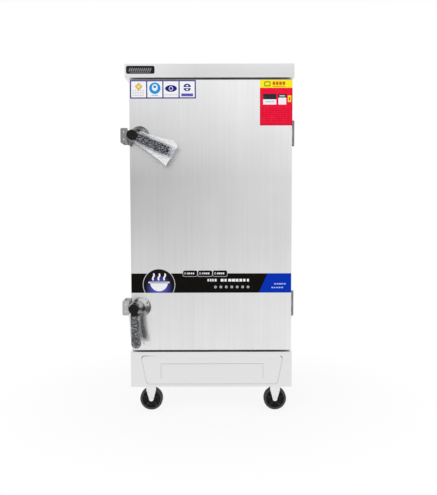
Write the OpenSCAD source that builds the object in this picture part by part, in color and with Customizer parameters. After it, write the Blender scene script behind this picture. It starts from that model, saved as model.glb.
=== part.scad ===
// Steam cabinet for rice noodle rolls. A heated water tank lies under a rack of twelve trays,
// behind one insulated door with two lever latches, on a base with four castors.
// Lengths are in millimetres. Inside this file X runs to the right, Y runs to the back from the
// face of the door and Z runs up from the floor.

/* [Trays] */
// Length of a steam tray, side to side
tray_l = 600; // [500:10:700]
// Width of a steam tray, front to back
tray_w = 400; // [320:10:480]
// Height of a steam tray
tray_h = 48; // [30:1:60]
// Sheet of a steam tray
tray_t = 1; // [0.6:0.1:2]
// Width of the flat rim round a tray
tray_rim = 8; // [5:1:10]
// Corner radius of a tray's pan
tray_corner_r = 14; // [6:1:30]
// Number of tray levels
levels = 12; // [7:1:14]
// Height from one tray level to the next
level_pitch = 80; // [68:1:95]

/* [Rack] */
// Play at each side of a tray
tray_side_play = 5; // [3:0.5:10]
// Thickness of a rack upright
upright_t = 8; // [4:0.5:12]
// Width of a rack upright
upright_w = 20; // [12:1:40]
// Sheet of a rail
rail_t = 1.5; // [1:0.1:2.5]
// Width of tray floor that a rail carries
rail_bearing = 11; // [6:1:16]
// Height of a rail's guide above the tray floor
guide_h = 16; // [8:1:24]
// Length of a rail past each end of a tray
rail_over = 10; // [6:1:20]

/* [Cabinet] */
// Thickness of the insulated walls
wall_t = 37; // [28:1:60]
// Sheet of the outer shell
sheet_t = 1.2; // [0.8:0.1:2]
// Sheet of the inner liner
liner_t = 1; // [0.6:0.1:2]
// Room between the front frame and the trays
front_play = 60; // [50:1:90]
// Room between the trays and the back of the chamber
rear_play = 53; // [40:1:90]
// Height of the water tank's front, up to the sill
tank_h = 120; // [110:1:160]
// Height of the lowest tray above the sill
rail_first = 23; // [15:1:50]
// Room over the top tray
headroom = 54; // [30:1:90]
// Height of the front frame over the chamber
frame_top = 50; // [42:1:80]
// Height of the insulation under the tank
floor_t = 11; // [8:1:14]
// Depth of the flange round the chamber's mouth
mouth_flange = 8; // [4:1:16]
// Height of the top cap
cap_h = 58; // [30:1:90]
// Reach of the top cap past the latch side
cap_over_latch = 13; // [5:1:20]
// Reach of the top cap past the hinge side
cap_over_hinge = 5; // [2:1:20]
// Reach of the top cap past the door's face
cap_over_front = 3; // [0:1:10]
// Reach of the top cap past the back
cap_over_rear = 6; // [0:1:20]

/* [Base] */
// Height of the base box
base_h = 154; // [135:1:220]
// Sheet of the base box
base_t = 2; // [1.5:0.1:3]
// Width of the flange round the top of the base
base_flange = 60; // [55:1:80]
// Width of the flange round the open front of the base
panel_seat = 20; // [12:1:30]
// Sheet of the pressed front panel
panel_t = 1.5; // [1:0.1:2]
// Height of the raised field on the front panel
emboss_h = 4; // [2.5:0.5:8]
// Depth of the pressed rectangle in the raised field
recess_d = 3.5; // [1.5:0.5:3.5]
// Width of the raised field at its top
emboss_top_w = 616; // [560:1:640]
// Width of the raised field at its foot
emboss_foot_w = 578; // [500:1:600]
// Distance from the raised field to the top of the panel
emboss_top_gap = 15; // [8:1:30]
// Distance from the raised field to the foot of the panel
emboss_foot_gap = 11; // [6:1:30]
// Corner radius of the raised field
emboss_r = 16; // [8:1:24]
// Width of the pressed rectangle
recess_w = 447; // [300:1:480]
// Height of the pressed rectangle
recess_h = 67; // [40:1:80]
// Height of the pressed rectangle above the foot of the panel
recess_foot_gap = 37; // [30:1:44]
// Distance from the base's middle to the middle of the pressings
press_shift = 3.4; // [-10:0.2:10]

/* [Door] */
// Thickness of the door
door_t = 42; // [36:1:60]
// Gap between the door's inner skin and the front frame
seal_t = 8; // [7:0.5:12]
// Gap over and under the door
door_gap = 9; // [4:0.5:12]
// Gap between the door's edge and the cabinet's side at the latches
latch_gap = 5; // [3:0.5:8]
// Gap between the door's edge and the cabinet's side at the hinges
hinge_gap = 3; // [2:0.5:4]
// Radius of the door's front upright edges
door_edge_r = 4; // [2:0.5:10]
// Distance from the door's edge to its gasket
gasket_inset = 12; // [8:1:16]
// Width of the gasket's base
gasket_w = 18; // [14:1:20]
// Width of the gasket's bulb
bulb_w = 10; // [6:1:12]
// Height of the pressing on the inner skin
inner_press = 3; // [1:0.5:5]

/* [Hinges] */
// Height of a hinge
hinge_h = 110; // [80:1:140]
// Radius of a hinge pin
hinge_pin_r = 3.5; // [3:0.1:4]
// Radius of a hinge barrel
barrel_r = 5.5; // [5.2:0.1:5.8]
// Distance of the hinge axis outside the cabinet's side
axis_out = 6; // [6:0.1:8]
// Distance of the hinge axis in front of the front frame
axis_front = 4; // [3:0.5:6]
// Thickness of a hinge leaf
leaf_t = 2; // [1.5:0.1:2.5]
// Width of a hinge leaf
leaf_w = 36; // [24:1:38]
// Height of the middle knuckle
knuckle_h = 36; // [24:1:50]
// Height from the upper hinge's middle to the top of the door
hinge_from_top = 221; // [150:1:260]
// Height from the foot of the door to the lower hinge's middle
hinge_from_foot = 198; // [150:1:240]

/* [Latches] */
// Distance from the latch hub to the cabinet's side
hub_in = 22; // [20:0.5:24]
// Height from the top of the door to the upper latch
latch_from_top = 236; // [160:1:280]
// Height from the foot of the door to the lower latch
latch_from_foot = 188; // [160:1:240]
// Radius of a latch's mounting flange
flange_r = 42; // [38:1:44]
// Thickness of a latch's mounting flange
flange_t = 5; // [3:0.5:6]
// Distance from the latch hub to the middle of the flange
flange_shift = 26; // [22:0.5:28]
// Reach of a latch housing in front of the door
housing_out = 36; // [34:1:44]
// Radius of a latch housing at its hub
housing_r = 26; // [25:0.5:28]
// Radius of a latch housing's foot
housing_foot_r = 30; // [28:0.5:32]
// Radius of a latch spindle
spindle_r = 6; // [5:0.5:8]
// Radius of the disc on a latch spindle
cam_r = 20; // [18:0.5:21]
// Reach of a latch finger from its hub
finger_r = 44; // [40:1:46]
// Width of a latch finger
finger_w = 16; // [12:1:18]
// Thickness of a latch finger
finger_t = 8; // [6:0.5:9]
// Distance from the door's face to a latch finger
finger_off = 9; // [8:0.5:10]
// Angle of the upper lever from level, as it stands
upper_lever_angle = -24.2; // [-85:0.1:-5]
// Angle of the lower lever from level, as it stands
lower_lever_angle = -86.6; // [-88:0.1:-5]
// Length of a lever from its hub to its tip
lever_l = 170; // [140:1:200]
// Width of a lever's grip
lever_w = 40; // [32:1:44]
// Thickness of a lever's grip
lever_t = 26; // [18:1:30]
// Radius of a lever's hub
lever_hub_r = 21; // [18:0.5:24]
// Film of the clear sleeve on a lever
film_t = 0.5; // [0.4:0.1:1]
// Width of the loose upper sleeve at its open end
flare_w = 105; // [60:1:110]
// Reach of the loose upper sleeve past the lever's tip
flare_over = 17; // [8:1:24]

/* [Keepers] */
// Reach of a keeper past the cabinet's side
keeper_out = 30; // [30:1:34]
// Height of a keeper
keeper_h = 64; // [58:1:72]
// Thickness of a keeper's lip
lip_t = 6; // [4:0.5:7]
// Thickness of a keeper's web
web_t = 5; // [3:0.5:5]
// Thickness of the wear strip behind a keeper's lip
wear_t = 2.7; // [1.5:0.1:4]
// Thickness of a keeper's leaf on the cabinet
keeper_leaf_t = 3; // [2:0.5:4]
// Depth of a keeper's leaf along the cabinet
keeper_leaf_d = 40; // [30:1:50]
// Corner radius of a keeper
keeper_r = 6; // [3:0.5:9]
// Width of the raised rim round a keeper's face
keeper_rim = 2.5; // [1.5:0.1:2.8]
// Depth of a keeper's face inside its rim
keeper_sunk = 1.2; // [0.6:0.1:2]

/* [Castors] */
// Diameter of a castor wheel
wheel_d = 100; // [90:1:110]
// Width of a castor wheel
wheel_w = 32; // [24:1:36]
// Height of a castor over its wheel
castor_head = 21; // [21:1:30]
// Distance from the left side to the middle of the left castors
castor_left = 82; // [60:1:100]
// Distance from the right side to the middle of the right castors
castor_right = 67; // [60:1:100]
// Distance from the front or the back to a castor's middle
castor_inset = 75; // [65:1:100]
// Width of a castor's top plate
plate_w = 105; // [90:1:110]
// Depth of a castor's top plate
plate_d = 85; // [80:1:100]
// Thickness of a castor's top plate
plate_t = 3; // [2:0.5:4]
// Width of a fixed fork at its top
fork_top_w = 45; // [40:1:60]
// Width of a fixed fork at its shoulder
fork_shoulder_w = 43; // [36:1:56]
// Sheet of a fork's legs
fork_t = 2.5; // [2:0.1:3]
// Radius of a fork's rounded foot
fork_foot_r = 10; // [9:0.5:14]
// Height of the turned edges along a fixed fork's legs
fork_edge = 2.5; // [1.5:0.1:3]
// Number of spokes on each face of a wheel
spokes = 5; // [3:1:8]
// Width of a spoke
spoke_w = 7; // [4:0.5:10]
// Radius of a castor axle
axle_r = 6; // [5:0.5:8]
// Trail of a swivel castor
trail = 32; // [26:1:36]
// Radius of a swivel fork's crown
crown_r = 28; // [24:1:32]
// Radius of a swivel castor's king pin
king_r = 5; // [4:0.5:6]
// Radius of a brake pin
brake_pin_r = 3; // [2:0.5:4]
// Gap between a brake shoe and its wheel when released
brake_gap = 6; // [4:0.5:7]

/* [Water and steam] */
// Distance of the heater from the middle of the cabinet
heater_x = 140; // [110:1:160]
// Height of the heater above the tank floor
heater_up = 43; // [40:1:50]
// Radius of the heater's flange
heater_flange_r = 45; // [42:1:50]
// Radius of the heater's neck
neck_r = 38; // [36:0.5:39]
// Radius of a heating tube
tube_r = 4; // [3:0.5:5]
// Radius of a heating tube's bend
bend_r = 14; // [12:1:16]
// Distance between heating loops
loop_pitch = 18; // [14:1:18]
// Width and height of the terminal box
terminal_w = 160; // [130:1:180]
// Depth of the terminal box
terminal_d = 60; // [50:1:90]
// Radius of the cable gland's bore
gland_bore_r = 6.5; // [5:0.5:8]
// Width of the float box
float_w = 160; // [150:1:180]
// Height of the float box
float_h = 130; // [125:1:150]
// Depth of the float box
float_d = 100; // [80:1:120]
// Distance of the float box from the middle of the cabinet
float_x = 230; // [190:1:240]
// Height of the float box above the tank floor
float_up = 13; // [8:1:20]
// Radius of the float's ball
ball_r = 26; // [20:1:28]
// Radius of the feed pipe
feed_r = 11; // [8:0.5:12]
// Radius of the drain pipe
drain_r = 13; // [10:0.5:14]
// Wall of the water pipes
pipe_t = 2; // [1:0.5:2.5]
// Radius of the threaded ends that a hose or a pipe joins
thread_r = 10.48; // [9:0.01:12]
// Distance of the drain from the middle of the cabinet
drain_x = 60; // [40:1:80]
// Radius of the steam vent
vent_r = 16; // [12:0.5:18]
// Height of the vent under the chamber's roof
vent_down = 40; // [30:1:60]
// Pitch of the holes in the steam plate
hole_pitch = 50; // [40:1:80]
// Radius of a hole in the steam plate
hole_r = 9; // [5:1:12]
// Height of the steam plate above the tank floor
plate_up = 96; // [90:1:104]
// Slot in front of the steam plate, through which the tank is looked at and cleaned
plate_slot = 45; // [30:1:60]

/* [Fits] */
// Radial clearance of a turning fit
run = 0.05; // [0.03:0.01:0.1]
// Gap between pieces that lie beside each other without touching
clear = 0.3; // [0.2:0.05:0.4]

/* [Hidden] */
$fn = 64;
soft_fn = 32;
eps = 0.01;

steel = "gainsboro";
light_steel = "lightgray";
grey_steel = "silver";
dark_steel = "gray";
black_plastic = "#202224";
brass = "goldenrod";
chrome = "darkgray";

// Heights
wheel_r = wheel_d / 2;
base_z = wheel_d + castor_head;
base_top = base_z + base_h;
sill_z = base_top + tank_h;
tank_z = base_top + floor_t + liner_t;
rail_z = sill_z + rail_first;
roof_z = rail_z + (levels - 1) * level_pitch + tray_h + headroom;
cap_z = roof_z + frame_top;
top_z = cap_z + cap_h;
door_z = [base_top + door_gap, cap_z - door_gap];

// Widths
chamber_x = tray_l / 2 + tray_side_play + upright_t;
half_w = chamber_x + wall_t;
rail_w = tray_side_play + tray_rim + rail_bearing;
door_x = [-half_w + latch_gap, half_w - hinge_gap];
press_gap = 14;
press_inset = gasket_inset + gasket_w + press_gap;

// Depths
frame_y = door_t + seal_t;
frame_back = frame_y + sheet_t;
tray_y = [frame_y + front_play, frame_y + front_play + tray_w];
chamber_y = tray_y[1] + rear_play;
body_d = chamber_y + wall_t;

// Hinges
hinge_x = half_w + axis_out;
hinge_y = frame_y - axis_front;
hinge_zs = [door_z[1] - hinge_from_top, door_z[0] + hinge_from_foot];
web_w = 2.5;
leaf_play = 0.5;

// Latches and keepers
hub_x = -half_w + hub_in;
latch_zs = [door_z[1] - latch_from_top, door_z[0] + latch_from_foot];
finger_y = [-finger_off - finger_t, -finger_off];
cam_play = 1.5;
pocket_r = cam_r + cam_play;
finger_play = 2.5;
pocket_front = finger_y[0] - finger_play;
finger_swing = 90;
swing_room = 30;
lever_off = 1;
lever_y = [-housing_out - lever_off - lever_t, -housing_out - lever_off];
lever_mid = (lever_y[0] + lever_y[1]) / 2;
lever_cap = 4;
sleeve_lap = 4;
sleeve_start = lever_hub_r + housing_r - sleeve_lap;
sleeve_ease = 12;
sleeve_neck_w = lever_w + sleeve_ease;
keeper_x = [-half_w - keeper_out, -half_w];
lip_back = finger_y[0] - clear - wear_t;
lip_y = [lip_back - lip_t, lip_back];
keeper_back = [frame_y + lip_t, frame_y + lip_t + web_t];
notch_play = 1.5;
notch_r = housing_r + notch_play;

// Castors
castor_xs = [castor_left - half_w, half_w - castor_right];
castor_ys = [castor_inset, body_d - castor_inset];
axle_z = wheel_r;
plate_z = base_z - plate_t;
side_gap = 3;
hub_half = wheel_w / 2 + side_gap - clear;
leg_in = wheel_w / 2 + side_gap;
leg_out = leg_in + fork_t;
shoulder_drop = 26;
shoulder_z = plate_z - shoulder_drop;
crown_t = 3;
crown_up = 5;
crown_y = [-crown_r * 0.6, crown_r * 0.8];
race_h = castor_head - plate_t - crown_t - crown_up;
crown_z = [plate_z - race_h - clear - crown_t, plate_z - race_h - clear];
brake_back = 22;
brake_up = 4;
brake_pivot = [trail + brake_back, wheel_d + brake_pin_r + brake_up];
brake_eye_wall = 3;
brake_play = 0.2;
// Directions from the axle to the two ends of the shoe
shoe_span = [30, 68];
shoe_r = wheel_r + brake_gap;
tread_reach = 28;
tread_drop = 12;
tread_t = 4;

// Water and steam
heater_z = tank_z + heater_up;
neck_wall = 2;
float_z = [tank_z + float_up, tank_z + float_up + float_h];
float_xs = [-float_x - float_w / 2, -float_x + float_w / 2];
float_ys = [body_d, body_d + float_d];
feed_up = 8;
feed_z = float_z[0] + sheet_t + feed_r + feed_up;
valve_down = 25;
valve_z = float_z[1] - valve_down;
valve_y = body_d + float_d / 2;
pivot_in = 30;
pivot_x = float_xs[0] + pivot_in;
float_pin_r = 2;
arm_w = 9.6;
arm_drop = 53;
arm_end = [float_w / 2, -arm_drop];
drain_fore = 25;
drain_y = (frame_y + body_d) / 2 - drain_fore;
drain_up = 49;
drain_z = base_z + drain_up;
drain_bend = drain_r * 1.8;
tap_out = 20;
tap_l = 44;
tap_neck = 22;
tap_stem_r = 4;
tap_stem_in = 12;
valve_start = body_d + tap_out;
vent_z = roof_z - vent_down;
vent_out = 45;
vent_rise_y = body_d + vent_out;
vent_short = 10;
vent_top = cap_z - vent_short;
vent_bend = vent_r * 2;
terminal_x = [heater_x - terminal_w / 2, heater_x + terminal_w / 2];
terminal_z = [heater_z - terminal_w / 2, heater_z + terminal_w / 2];
terminal_y = [body_d, body_d + terminal_d];
gland_in = 50;
gland_x = terminal_x[0] + gland_in;
gland_y = body_d + terminal_d / 2;

// The origin lies on the floor under the middle of the whole outline
left_reach = -keeper_x[0];
right_reach = hinge_x + barrel_r;
front_reach = -lever_y[0] + clear + film_t;
shift = [(left_reach - right_reach) / 2, (front_reach - float_ys[1]) / 2, 0];

// ---- Helpers ----

module place() {
    translate(shift)
        children();
}

// A box between two limits on each axis
module span(x, y, z) {
    translate([x[0], y[0], z[0]])
        cube([x[1] - x[0], y[1] - y[0], z[1] - z[0]]);
}

// Rods along each axis
module rod_x(r, x) {
    translate([x[0], 0, 0])
        rotate([0, 90, 0])
            cylinder(r = r, h = x[1] - x[0]);
}

module rod_y(r, y) {
    translate([0, y[0], 0])
        rotate([-90, 0, 0])
            cylinder(r = r, h = y[1] - y[0]);
}

module rod_z(r, z) {
    translate([0, 0, z[0]])
        cylinder(r = r, h = z[1] - z[0]);
}

// A six-sided nut, r across its corners
module hex_x(r, x) {
    translate([x[0], 0, 0])
        rotate([0, 90, 0])
            cylinder(r = r, h = x[1] - x[0], $fn = 6);
}

module hex_y(r, y) {
    translate([0, y[0], 0])
        rotate([-90, 0, 0])
            cylinder(r = r, h = y[1] - y[0], $fn = 6);
}

// A rectangle with true round corners
module round_rect(w, d, r) {
    square([w - 2 * r, d], center = true);
    square([w, d - 2 * r], center = true);
    for (x = [-1, 1], y = [-1, 1])
        translate([x * (w / 2 - r), y * (d / 2 - r)])
            circle(r);
}

// Stands an outline drawn in X and Z upright, between two depths
module upright(y) {
    translate([0, y[1], 0])
        rotate([90, 0, 0])
            linear_extrude(y[1] - y[0])
                children();
}

// A step of length 1 in a direction
function along(a) = [cos(a), sin(a)];

// Angle at which a line from a point at [dx, dz] meets a circle at the origin on its right
function tangent_angle(dx, dz, r) = atan2(dz, dx) - acos(r / norm([dx, dz]));

// ---- Base ----

module base_frame() {
    place()
        color(steel)
            difference() {
                span([-half_w, half_w], [panel_t, body_d], [base_z, base_top]);
                span([-half_w + base_t, half_w - base_t], [panel_t + base_t, body_d - base_t],
                    [base_z + base_t, base_top - base_t]);
                // Open front inside the panel's seat
                span([-half_w + panel_seat, half_w - panel_seat], [panel_t - 1, panel_t + base_t + 1],
                    [base_z + panel_seat, base_top - panel_seat]);
                // Open middle of the top
                span([-half_w + base_flange, half_w - base_flange],
                    [frame_y + base_flange, body_d - base_flange],
                    [base_top - base_t - 1, base_top + 1]);
                translate([-drain_x, 0, drain_z])
                    rod_y(drain_r, [body_d - base_t - 1, body_d + 1]);
            }
}

// Outline of the raised field, drawn in X and Z and shrunk by a margin
module emboss_outline(margin) {
    hull()
        for (side = [-1, 1]) {
            translate([press_shift + side * (emboss_top_w / 2 - emboss_r),
                base_top - emboss_top_gap - emboss_r])
                circle(emboss_r - margin, $fn = soft_fn);
            translate([press_shift + side * (emboss_foot_w / 2 - emboss_r),
                base_z + emboss_foot_gap + emboss_r])
                circle(emboss_r - margin, $fn = soft_fn);
        }
}

// A raised field with sloping flanks; its front lies at front_y and its foot at foot_y
module emboss_block(front_y, foot_y) {
    hull() {
        upright([foot_y - eps, foot_y])
            emboss_outline(0);
        upright([front_y, front_y + eps])
            emboss_outline(emboss_h);
    }
}

// The pressed rectangle, grown by a margin, from depth y0 to depth y1
module recess_block(margin, y0, y1) {
    foot = base_z + recess_foot_gap;
    hull() {
        upright([y0, y0 + eps])
            translate([press_shift, foot + recess_h / 2])
                square([recess_w + 2 * margin, recess_h + 2 * margin], center = true);
        upright([y1 - eps, y1])
            translate([press_shift, foot + recess_h / 2])
                square([recess_w + 2 * margin - 2 * recess_d, recess_h + 2 * margin - 2 * recess_d],
                    center = true);
    }
}

module base_front_panel() {
    place()
        color(light_steel)
            difference() {
                union() {
                    span([-half_w, half_w], [0, panel_t], [base_z, base_top]);
                    emboss_block(-emboss_h, 0);
                }
                difference() {
                    emboss_block(panel_t - emboss_h, panel_t + eps);
                    recess_block(panel_t, -emboss_h, panel_t - emboss_h + recess_d);
                }
                recess_block(0, -emboss_h - eps, recess_d - emboss_h);
            }
}

// ---- Cabinet ----

// Everything that passes through the walls of the cabinet
module wall_passages() {
    through = [chamber_y - 1, body_d + 1];
    translate([heater_x, 0, heater_z])
        rod_y(neck_r, through);
    translate([-float_x, 0, feed_z])
        rod_y(feed_r, through);
    translate([0, 0, vent_z])
        rod_y(vent_r, through);
    translate([-drain_x, drain_y, 0])
        rod_z(drain_r, [base_top - 1, tank_z + 1]);
}

module cabinet_shell() {
    place()
        color(steel)
            difference() {
                span([-half_w, half_w], [frame_back, body_d], [base_top, cap_z]);
                span([-half_w + sheet_t, half_w - sheet_t], [frame_back - 1, body_d - sheet_t],
                    [base_top + sheet_t, cap_z - sheet_t]);
                wall_passages();
            }
}

// A board of mineral wool in the floor, the roof, each side and the back
module cabinet_insulation() {
    in_x = chamber_x + liner_t;
    out_x = half_w - sheet_t;
    y = [frame_back, body_d - sheet_t];
    z = [tank_z - liner_t, roof_z + liner_t];
    wall_z = [z[0] + clear, z[1] - clear];
    place()
        color("khaki")
            difference() {
                union() {
                    span([-out_x, out_x], y, [base_top + sheet_t, z[0]]);
                    span([-out_x, out_x], y, [z[1], cap_z - sheet_t]);
                    for (side = [-1, 1])
                        mirror([side < 0 ? 1 : 0, 0, 0])
                            span([in_x, out_x], y, wall_z);
                    span([clear - in_x, in_x - clear], [chamber_y + liner_t, y[1]], wall_z);
                }
                wall_passages();
            }
}

module cabinet_liner() {
    place()
        color(grey_steel) {
            difference() {
                span([-chamber_x - liner_t, chamber_x + liner_t], [frame_back, chamber_y + liner_t],
                    [tank_z - liner_t, roof_z + liner_t]);
                span([-chamber_x, chamber_x], [frame_back + liner_t, chamber_y], [tank_z, roof_z]);
                // The mouth, over the tank's front wall
                span([-chamber_x, chamber_x], [frame_back - 1, frame_back + liner_t + 1],
                    [sill_z, roof_z]);
                wall_passages();
            }
            // Neck that carries the heater's flange
            translate([heater_x, 0, heater_z])
                difference() {
                    rod_y(neck_r, [chamber_y, body_d]);
                    rod_y(neck_r - neck_wall, [chamber_y - 1, body_d + 1]);
                }
        }
}

module front_frame() {
    place()
        color(steel)
            difference() {
                union() {
                    span([-half_w, half_w], [frame_y, frame_back], [base_top, cap_z]);
                    span([-chamber_x, chamber_x], [frame_back, frame_back + mouth_flange],
                        [sill_z, roof_z]);
                }
                span([-chamber_x + sheet_t, chamber_x - sheet_t],
                    [frame_y - 1, frame_back + mouth_flange + 1], [sill_z + sheet_t, roof_z - sheet_t]);
            }
}

module top_cap() {
    x = [-half_w - cap_over_latch, half_w + cap_over_hinge];
    y = [-cap_over_front, body_d + cap_over_rear];
    place()
        color(steel)
            difference() {
                span(x, y, [cap_z, top_z]);
                span([x[0] + sheet_t, x[1] - sheet_t], [y[0] + sheet_t, y[1] - sheet_t],
                    [cap_z + sheet_t, top_z - sheet_t]);
                // Open underside, inside the flange that rests on the cabinet
                span([-half_w + panel_seat, half_w - panel_seat],
                    [frame_y + panel_seat, body_d - panel_seat], [cap_z - 1, cap_z + sheet_t + 1]);
            }
}

// ---- Trays and what carries them ----

// Two uprights on the chamber's wall, and folded rails that hook onto them with a little play
module tray_rack(side) {
    upright_x = [chamber_x - upright_t, chamber_x];
    seat_x = [upright_x[0] - clear - rail_w, upright_x[0] - clear];
    rail_y = [tray_y[0] - rail_over, tray_y[1] + rail_over];
    upright_inset = 40;
    place()
        color(grey_steel)
            mirror([side < 0 ? 1 : 0, 0, 0]) {
                for (y = [tray_y[0] + upright_inset, tray_y[1] - upright_inset - upright_w])
                    span(upright_x, [y, y + upright_w],
                        [rail_z - rail_first / 2, roof_z - headroom / 2]);
                for (i = [0:levels - 1])
                    translate([0, 0, rail_z + i * level_pitch]) {
                        span(seat_x, rail_y, [-rail_t, 0]);
                        span([seat_x[1] - rail_t, seat_x[1]], rail_y, [-rail_t, guide_h]);
                        // Stop behind the tray
                        span(seat_x, [rail_y[1] - rail_t, rail_y[1]], [-rail_t, guide_h]);
                    }
            }
}

module tray_rack_left() {
    tray_rack(-1);
}

module tray_rack_right() {
    tray_rack(1);
}

module steam_tray() {
    linear_extrude(tray_t)
        round_rect(tray_l - 2 * tray_rim, tray_w - 2 * tray_rim, tray_corner_r);
    linear_extrude(tray_h)
        difference() {
            round_rect(tray_l - 2 * tray_rim, tray_w - 2 * tray_rim, tray_corner_r);
            round_rect(tray_l - 2 * tray_rim - 2 * tray_t, tray_w - 2 * tray_rim - 2 * tray_t,
                tray_corner_r - tray_t);
        }
    translate([0, 0, tray_h - tray_t])
        linear_extrude(tray_t)
            difference() {
                round_rect(tray_l, tray_w, tray_corner_r);
                round_rect(tray_l - 2 * tray_rim - 2 * tray_t, tray_w - 2 * tray_rim - 2 * tray_t,
                    tray_corner_r - tray_t);
            }
}

module steam_trays() {
    place()
        color("whitesmoke")
            for (i = [0:levels - 1])
                translate([0, (tray_y[0] + tray_y[1]) / 2, rail_z + i * level_pitch])
                    steam_tray();
}

module steam_plate() {
    play = 1;
    x = chamber_x - play;
    y = [frame_back + liner_t + plate_slot, chamber_y - play];
    holes_x = floor((x - hole_pitch / 2) / hole_pitch);
    holes_y = floor((y[1] - y[0] - hole_pitch) / hole_pitch);
    foot_w = 40;
    z = tank_z + plate_up;
    place()
        color(grey_steel) {
            translate([0, 0, z - rail_t])
                linear_extrude(rail_t)
                    difference() {
                        translate([-x, y[0]])
                            square([2 * x, y[1] - y[0]]);
                        for (i = [-holes_x:holes_x], j = [0:holes_y])
                            translate([i * hole_pitch,
                                (y[0] + y[1]) / 2 + (j - holes_y / 2) * hole_pitch])
                                circle(hole_r);
                    }
            // Folded feet down to the tank floor
            for (side = [-1, 1], foot_y = [y[0] + foot_w, y[1] - 2 * foot_w])
                mirror([side < 0 ? 1 : 0, 0, 0])
                    span([x - rail_t, x], [foot_y, foot_y + foot_w], [tank_z, z - rail_t]);
        }
}

// ---- Heater ----

// One U-shaped heating tube, with its legs above each other
module heating_loop(y) {
    for (side = [-1, 1])
        translate([0, 0, side * bend_r])
            rod_y(tube_r, [y[0] + bend_r, y[1]]);
    translate([0, y[0] + bend_r, 0])
        rotate([0, 90, 0])
            rotate([0, 0, 180])
                rotate_extrude(angle = 180)
                    translate([bend_r, 0])
                        circle(tube_r);
}

module heating_element() {
    disc_t = 6;
    flange_y = [body_d, body_d + disc_t];
    tip_gap = 70;
    tip_y = frame_y + tip_gap;
    terminal_l = 14;
    terminal_r = 2.5;
    place()
        color(grey_steel)
            translate([heater_x, 0, heater_z]) {
                rod_y(heater_flange_r, flange_y);
                for (i = [-1, 0, 1])
                    translate([i * loop_pitch, 0, 0]) {
                        heating_loop([tip_y, flange_y[0]]);
                        for (side = [-1, 1])
                            translate([0, 0, side * bend_r])
                                rod_y(terminal_r, [flange_y[1], flange_y[1] + terminal_l]);
                    }
            }
}

module terminal_box() {
    place()
        color(steel)
            difference() {
                span(terminal_x, terminal_y, terminal_z);
                span([terminal_x[0] + sheet_t, terminal_x[1] - sheet_t],
                    [terminal_y[0] + sheet_t, terminal_y[1] + 1],
                    [terminal_z[0] + sheet_t, terminal_z[1] - sheet_t]);
                translate([heater_x, 0, heater_z])
                    rod_y(heater_flange_r, [body_d - 1, body_d + sheet_t + 1]);
                translate([gland_x, gland_y, 0])
                    rod_z(gland_bore_r + pipe_t, [terminal_z[0] - 1, terminal_z[0] + sheet_t + 1]);
            }
}

module terminal_cover() {
    lip = 10;
    place()
        color(light_steel)
            difference() {
                span([terminal_x[0] - sheet_t, terminal_x[1] + sheet_t],
                    [terminal_y[1] - lip, terminal_y[1] + sheet_t],
                    [terminal_z[0] - sheet_t, terminal_z[1] + sheet_t]);
                span(terminal_x, [terminal_y[1] - lip - 1, terminal_y[1]], terminal_z);
            }
}

module terminal_block() {
    block_w = 110;
    block_h = 20;
    block_d = 22;
    ways = 5;
    way_pitch = 20;
    top_gap = 4;
    y = body_d + sheet_t;
    z = terminal_z[1] - sheet_t - top_gap - block_h;
    place()
        color("ivory")
            difference() {
                span([heater_x - block_w / 2, heater_x + block_w / 2], [y, y + block_d],
                    [z, z + block_h]);
                for (i = [0:ways - 1])
                    translate([heater_x + (i - (ways - 1) / 2) * way_pitch, y + block_d / 2, 0])
                        rod_z(tube_r, [z - 1, z + block_h + 1]);
            }
}

module cable_gland() {
    collar_wall = 5;
    collar_r = gland_bore_r + collar_wall;
    collar_h = 5;
    dome_wall = 3;
    dome_h = 14;
    z = terminal_z[0];
    place()
        color(black_plastic)
            translate([gland_x, gland_y, 0])
                difference() {
                    union() {
                        rod_z(gland_bore_r + pipe_t, [z - collar_h, z + sheet_t + collar_h]);
                        translate([0, 0, z + sheet_t])
                            cylinder(r = collar_r, h = collar_h, $fn = 6);
                        translate([0, 0, z - collar_h])
                            cylinder(r = collar_r, h = collar_h, $fn = 6);
                        rod_z(gland_bore_r + dome_wall, [z - collar_h - dome_h, z - collar_h]);
                    }
                    rod_z(gland_bore_r, [z - collar_h - dome_h - 1, z + sheet_t + collar_h + 1]);
                }
}

// ---- Water ----

module float_box() {
    place()
        color(steel)
            difference() {
                span(float_xs, float_ys, float_z);
                span([float_xs[0] + sheet_t, float_xs[1] - sheet_t],
                    [float_ys[0] + sheet_t, float_ys[1] - sheet_t], [float_z[0] + sheet_t, float_z[1] + 1]);
                translate([-float_x, 0, feed_z])
                    rod_y(feed_r, [body_d - 1, body_d + sheet_t + 1]);
                translate([0, valve_y, valve_z])
                    rod_x(thread_r, [float_xs[0] - 1, float_xs[0] + sheet_t + 1]);
            }
}

module float_box_lid() {
    lip = 8;
    place()
        color(light_steel)
            difference() {
                span([float_xs[0] - sheet_t, float_xs[1] + sheet_t], [float_ys[0], float_ys[1] + sheet_t],
                    [float_z[1] - lip, float_z[1] + sheet_t]);
                span(float_xs, [float_ys[0] - 1, float_ys[1]], [float_z[1] - lip - 1, float_z[1]]);
            }
}

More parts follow.
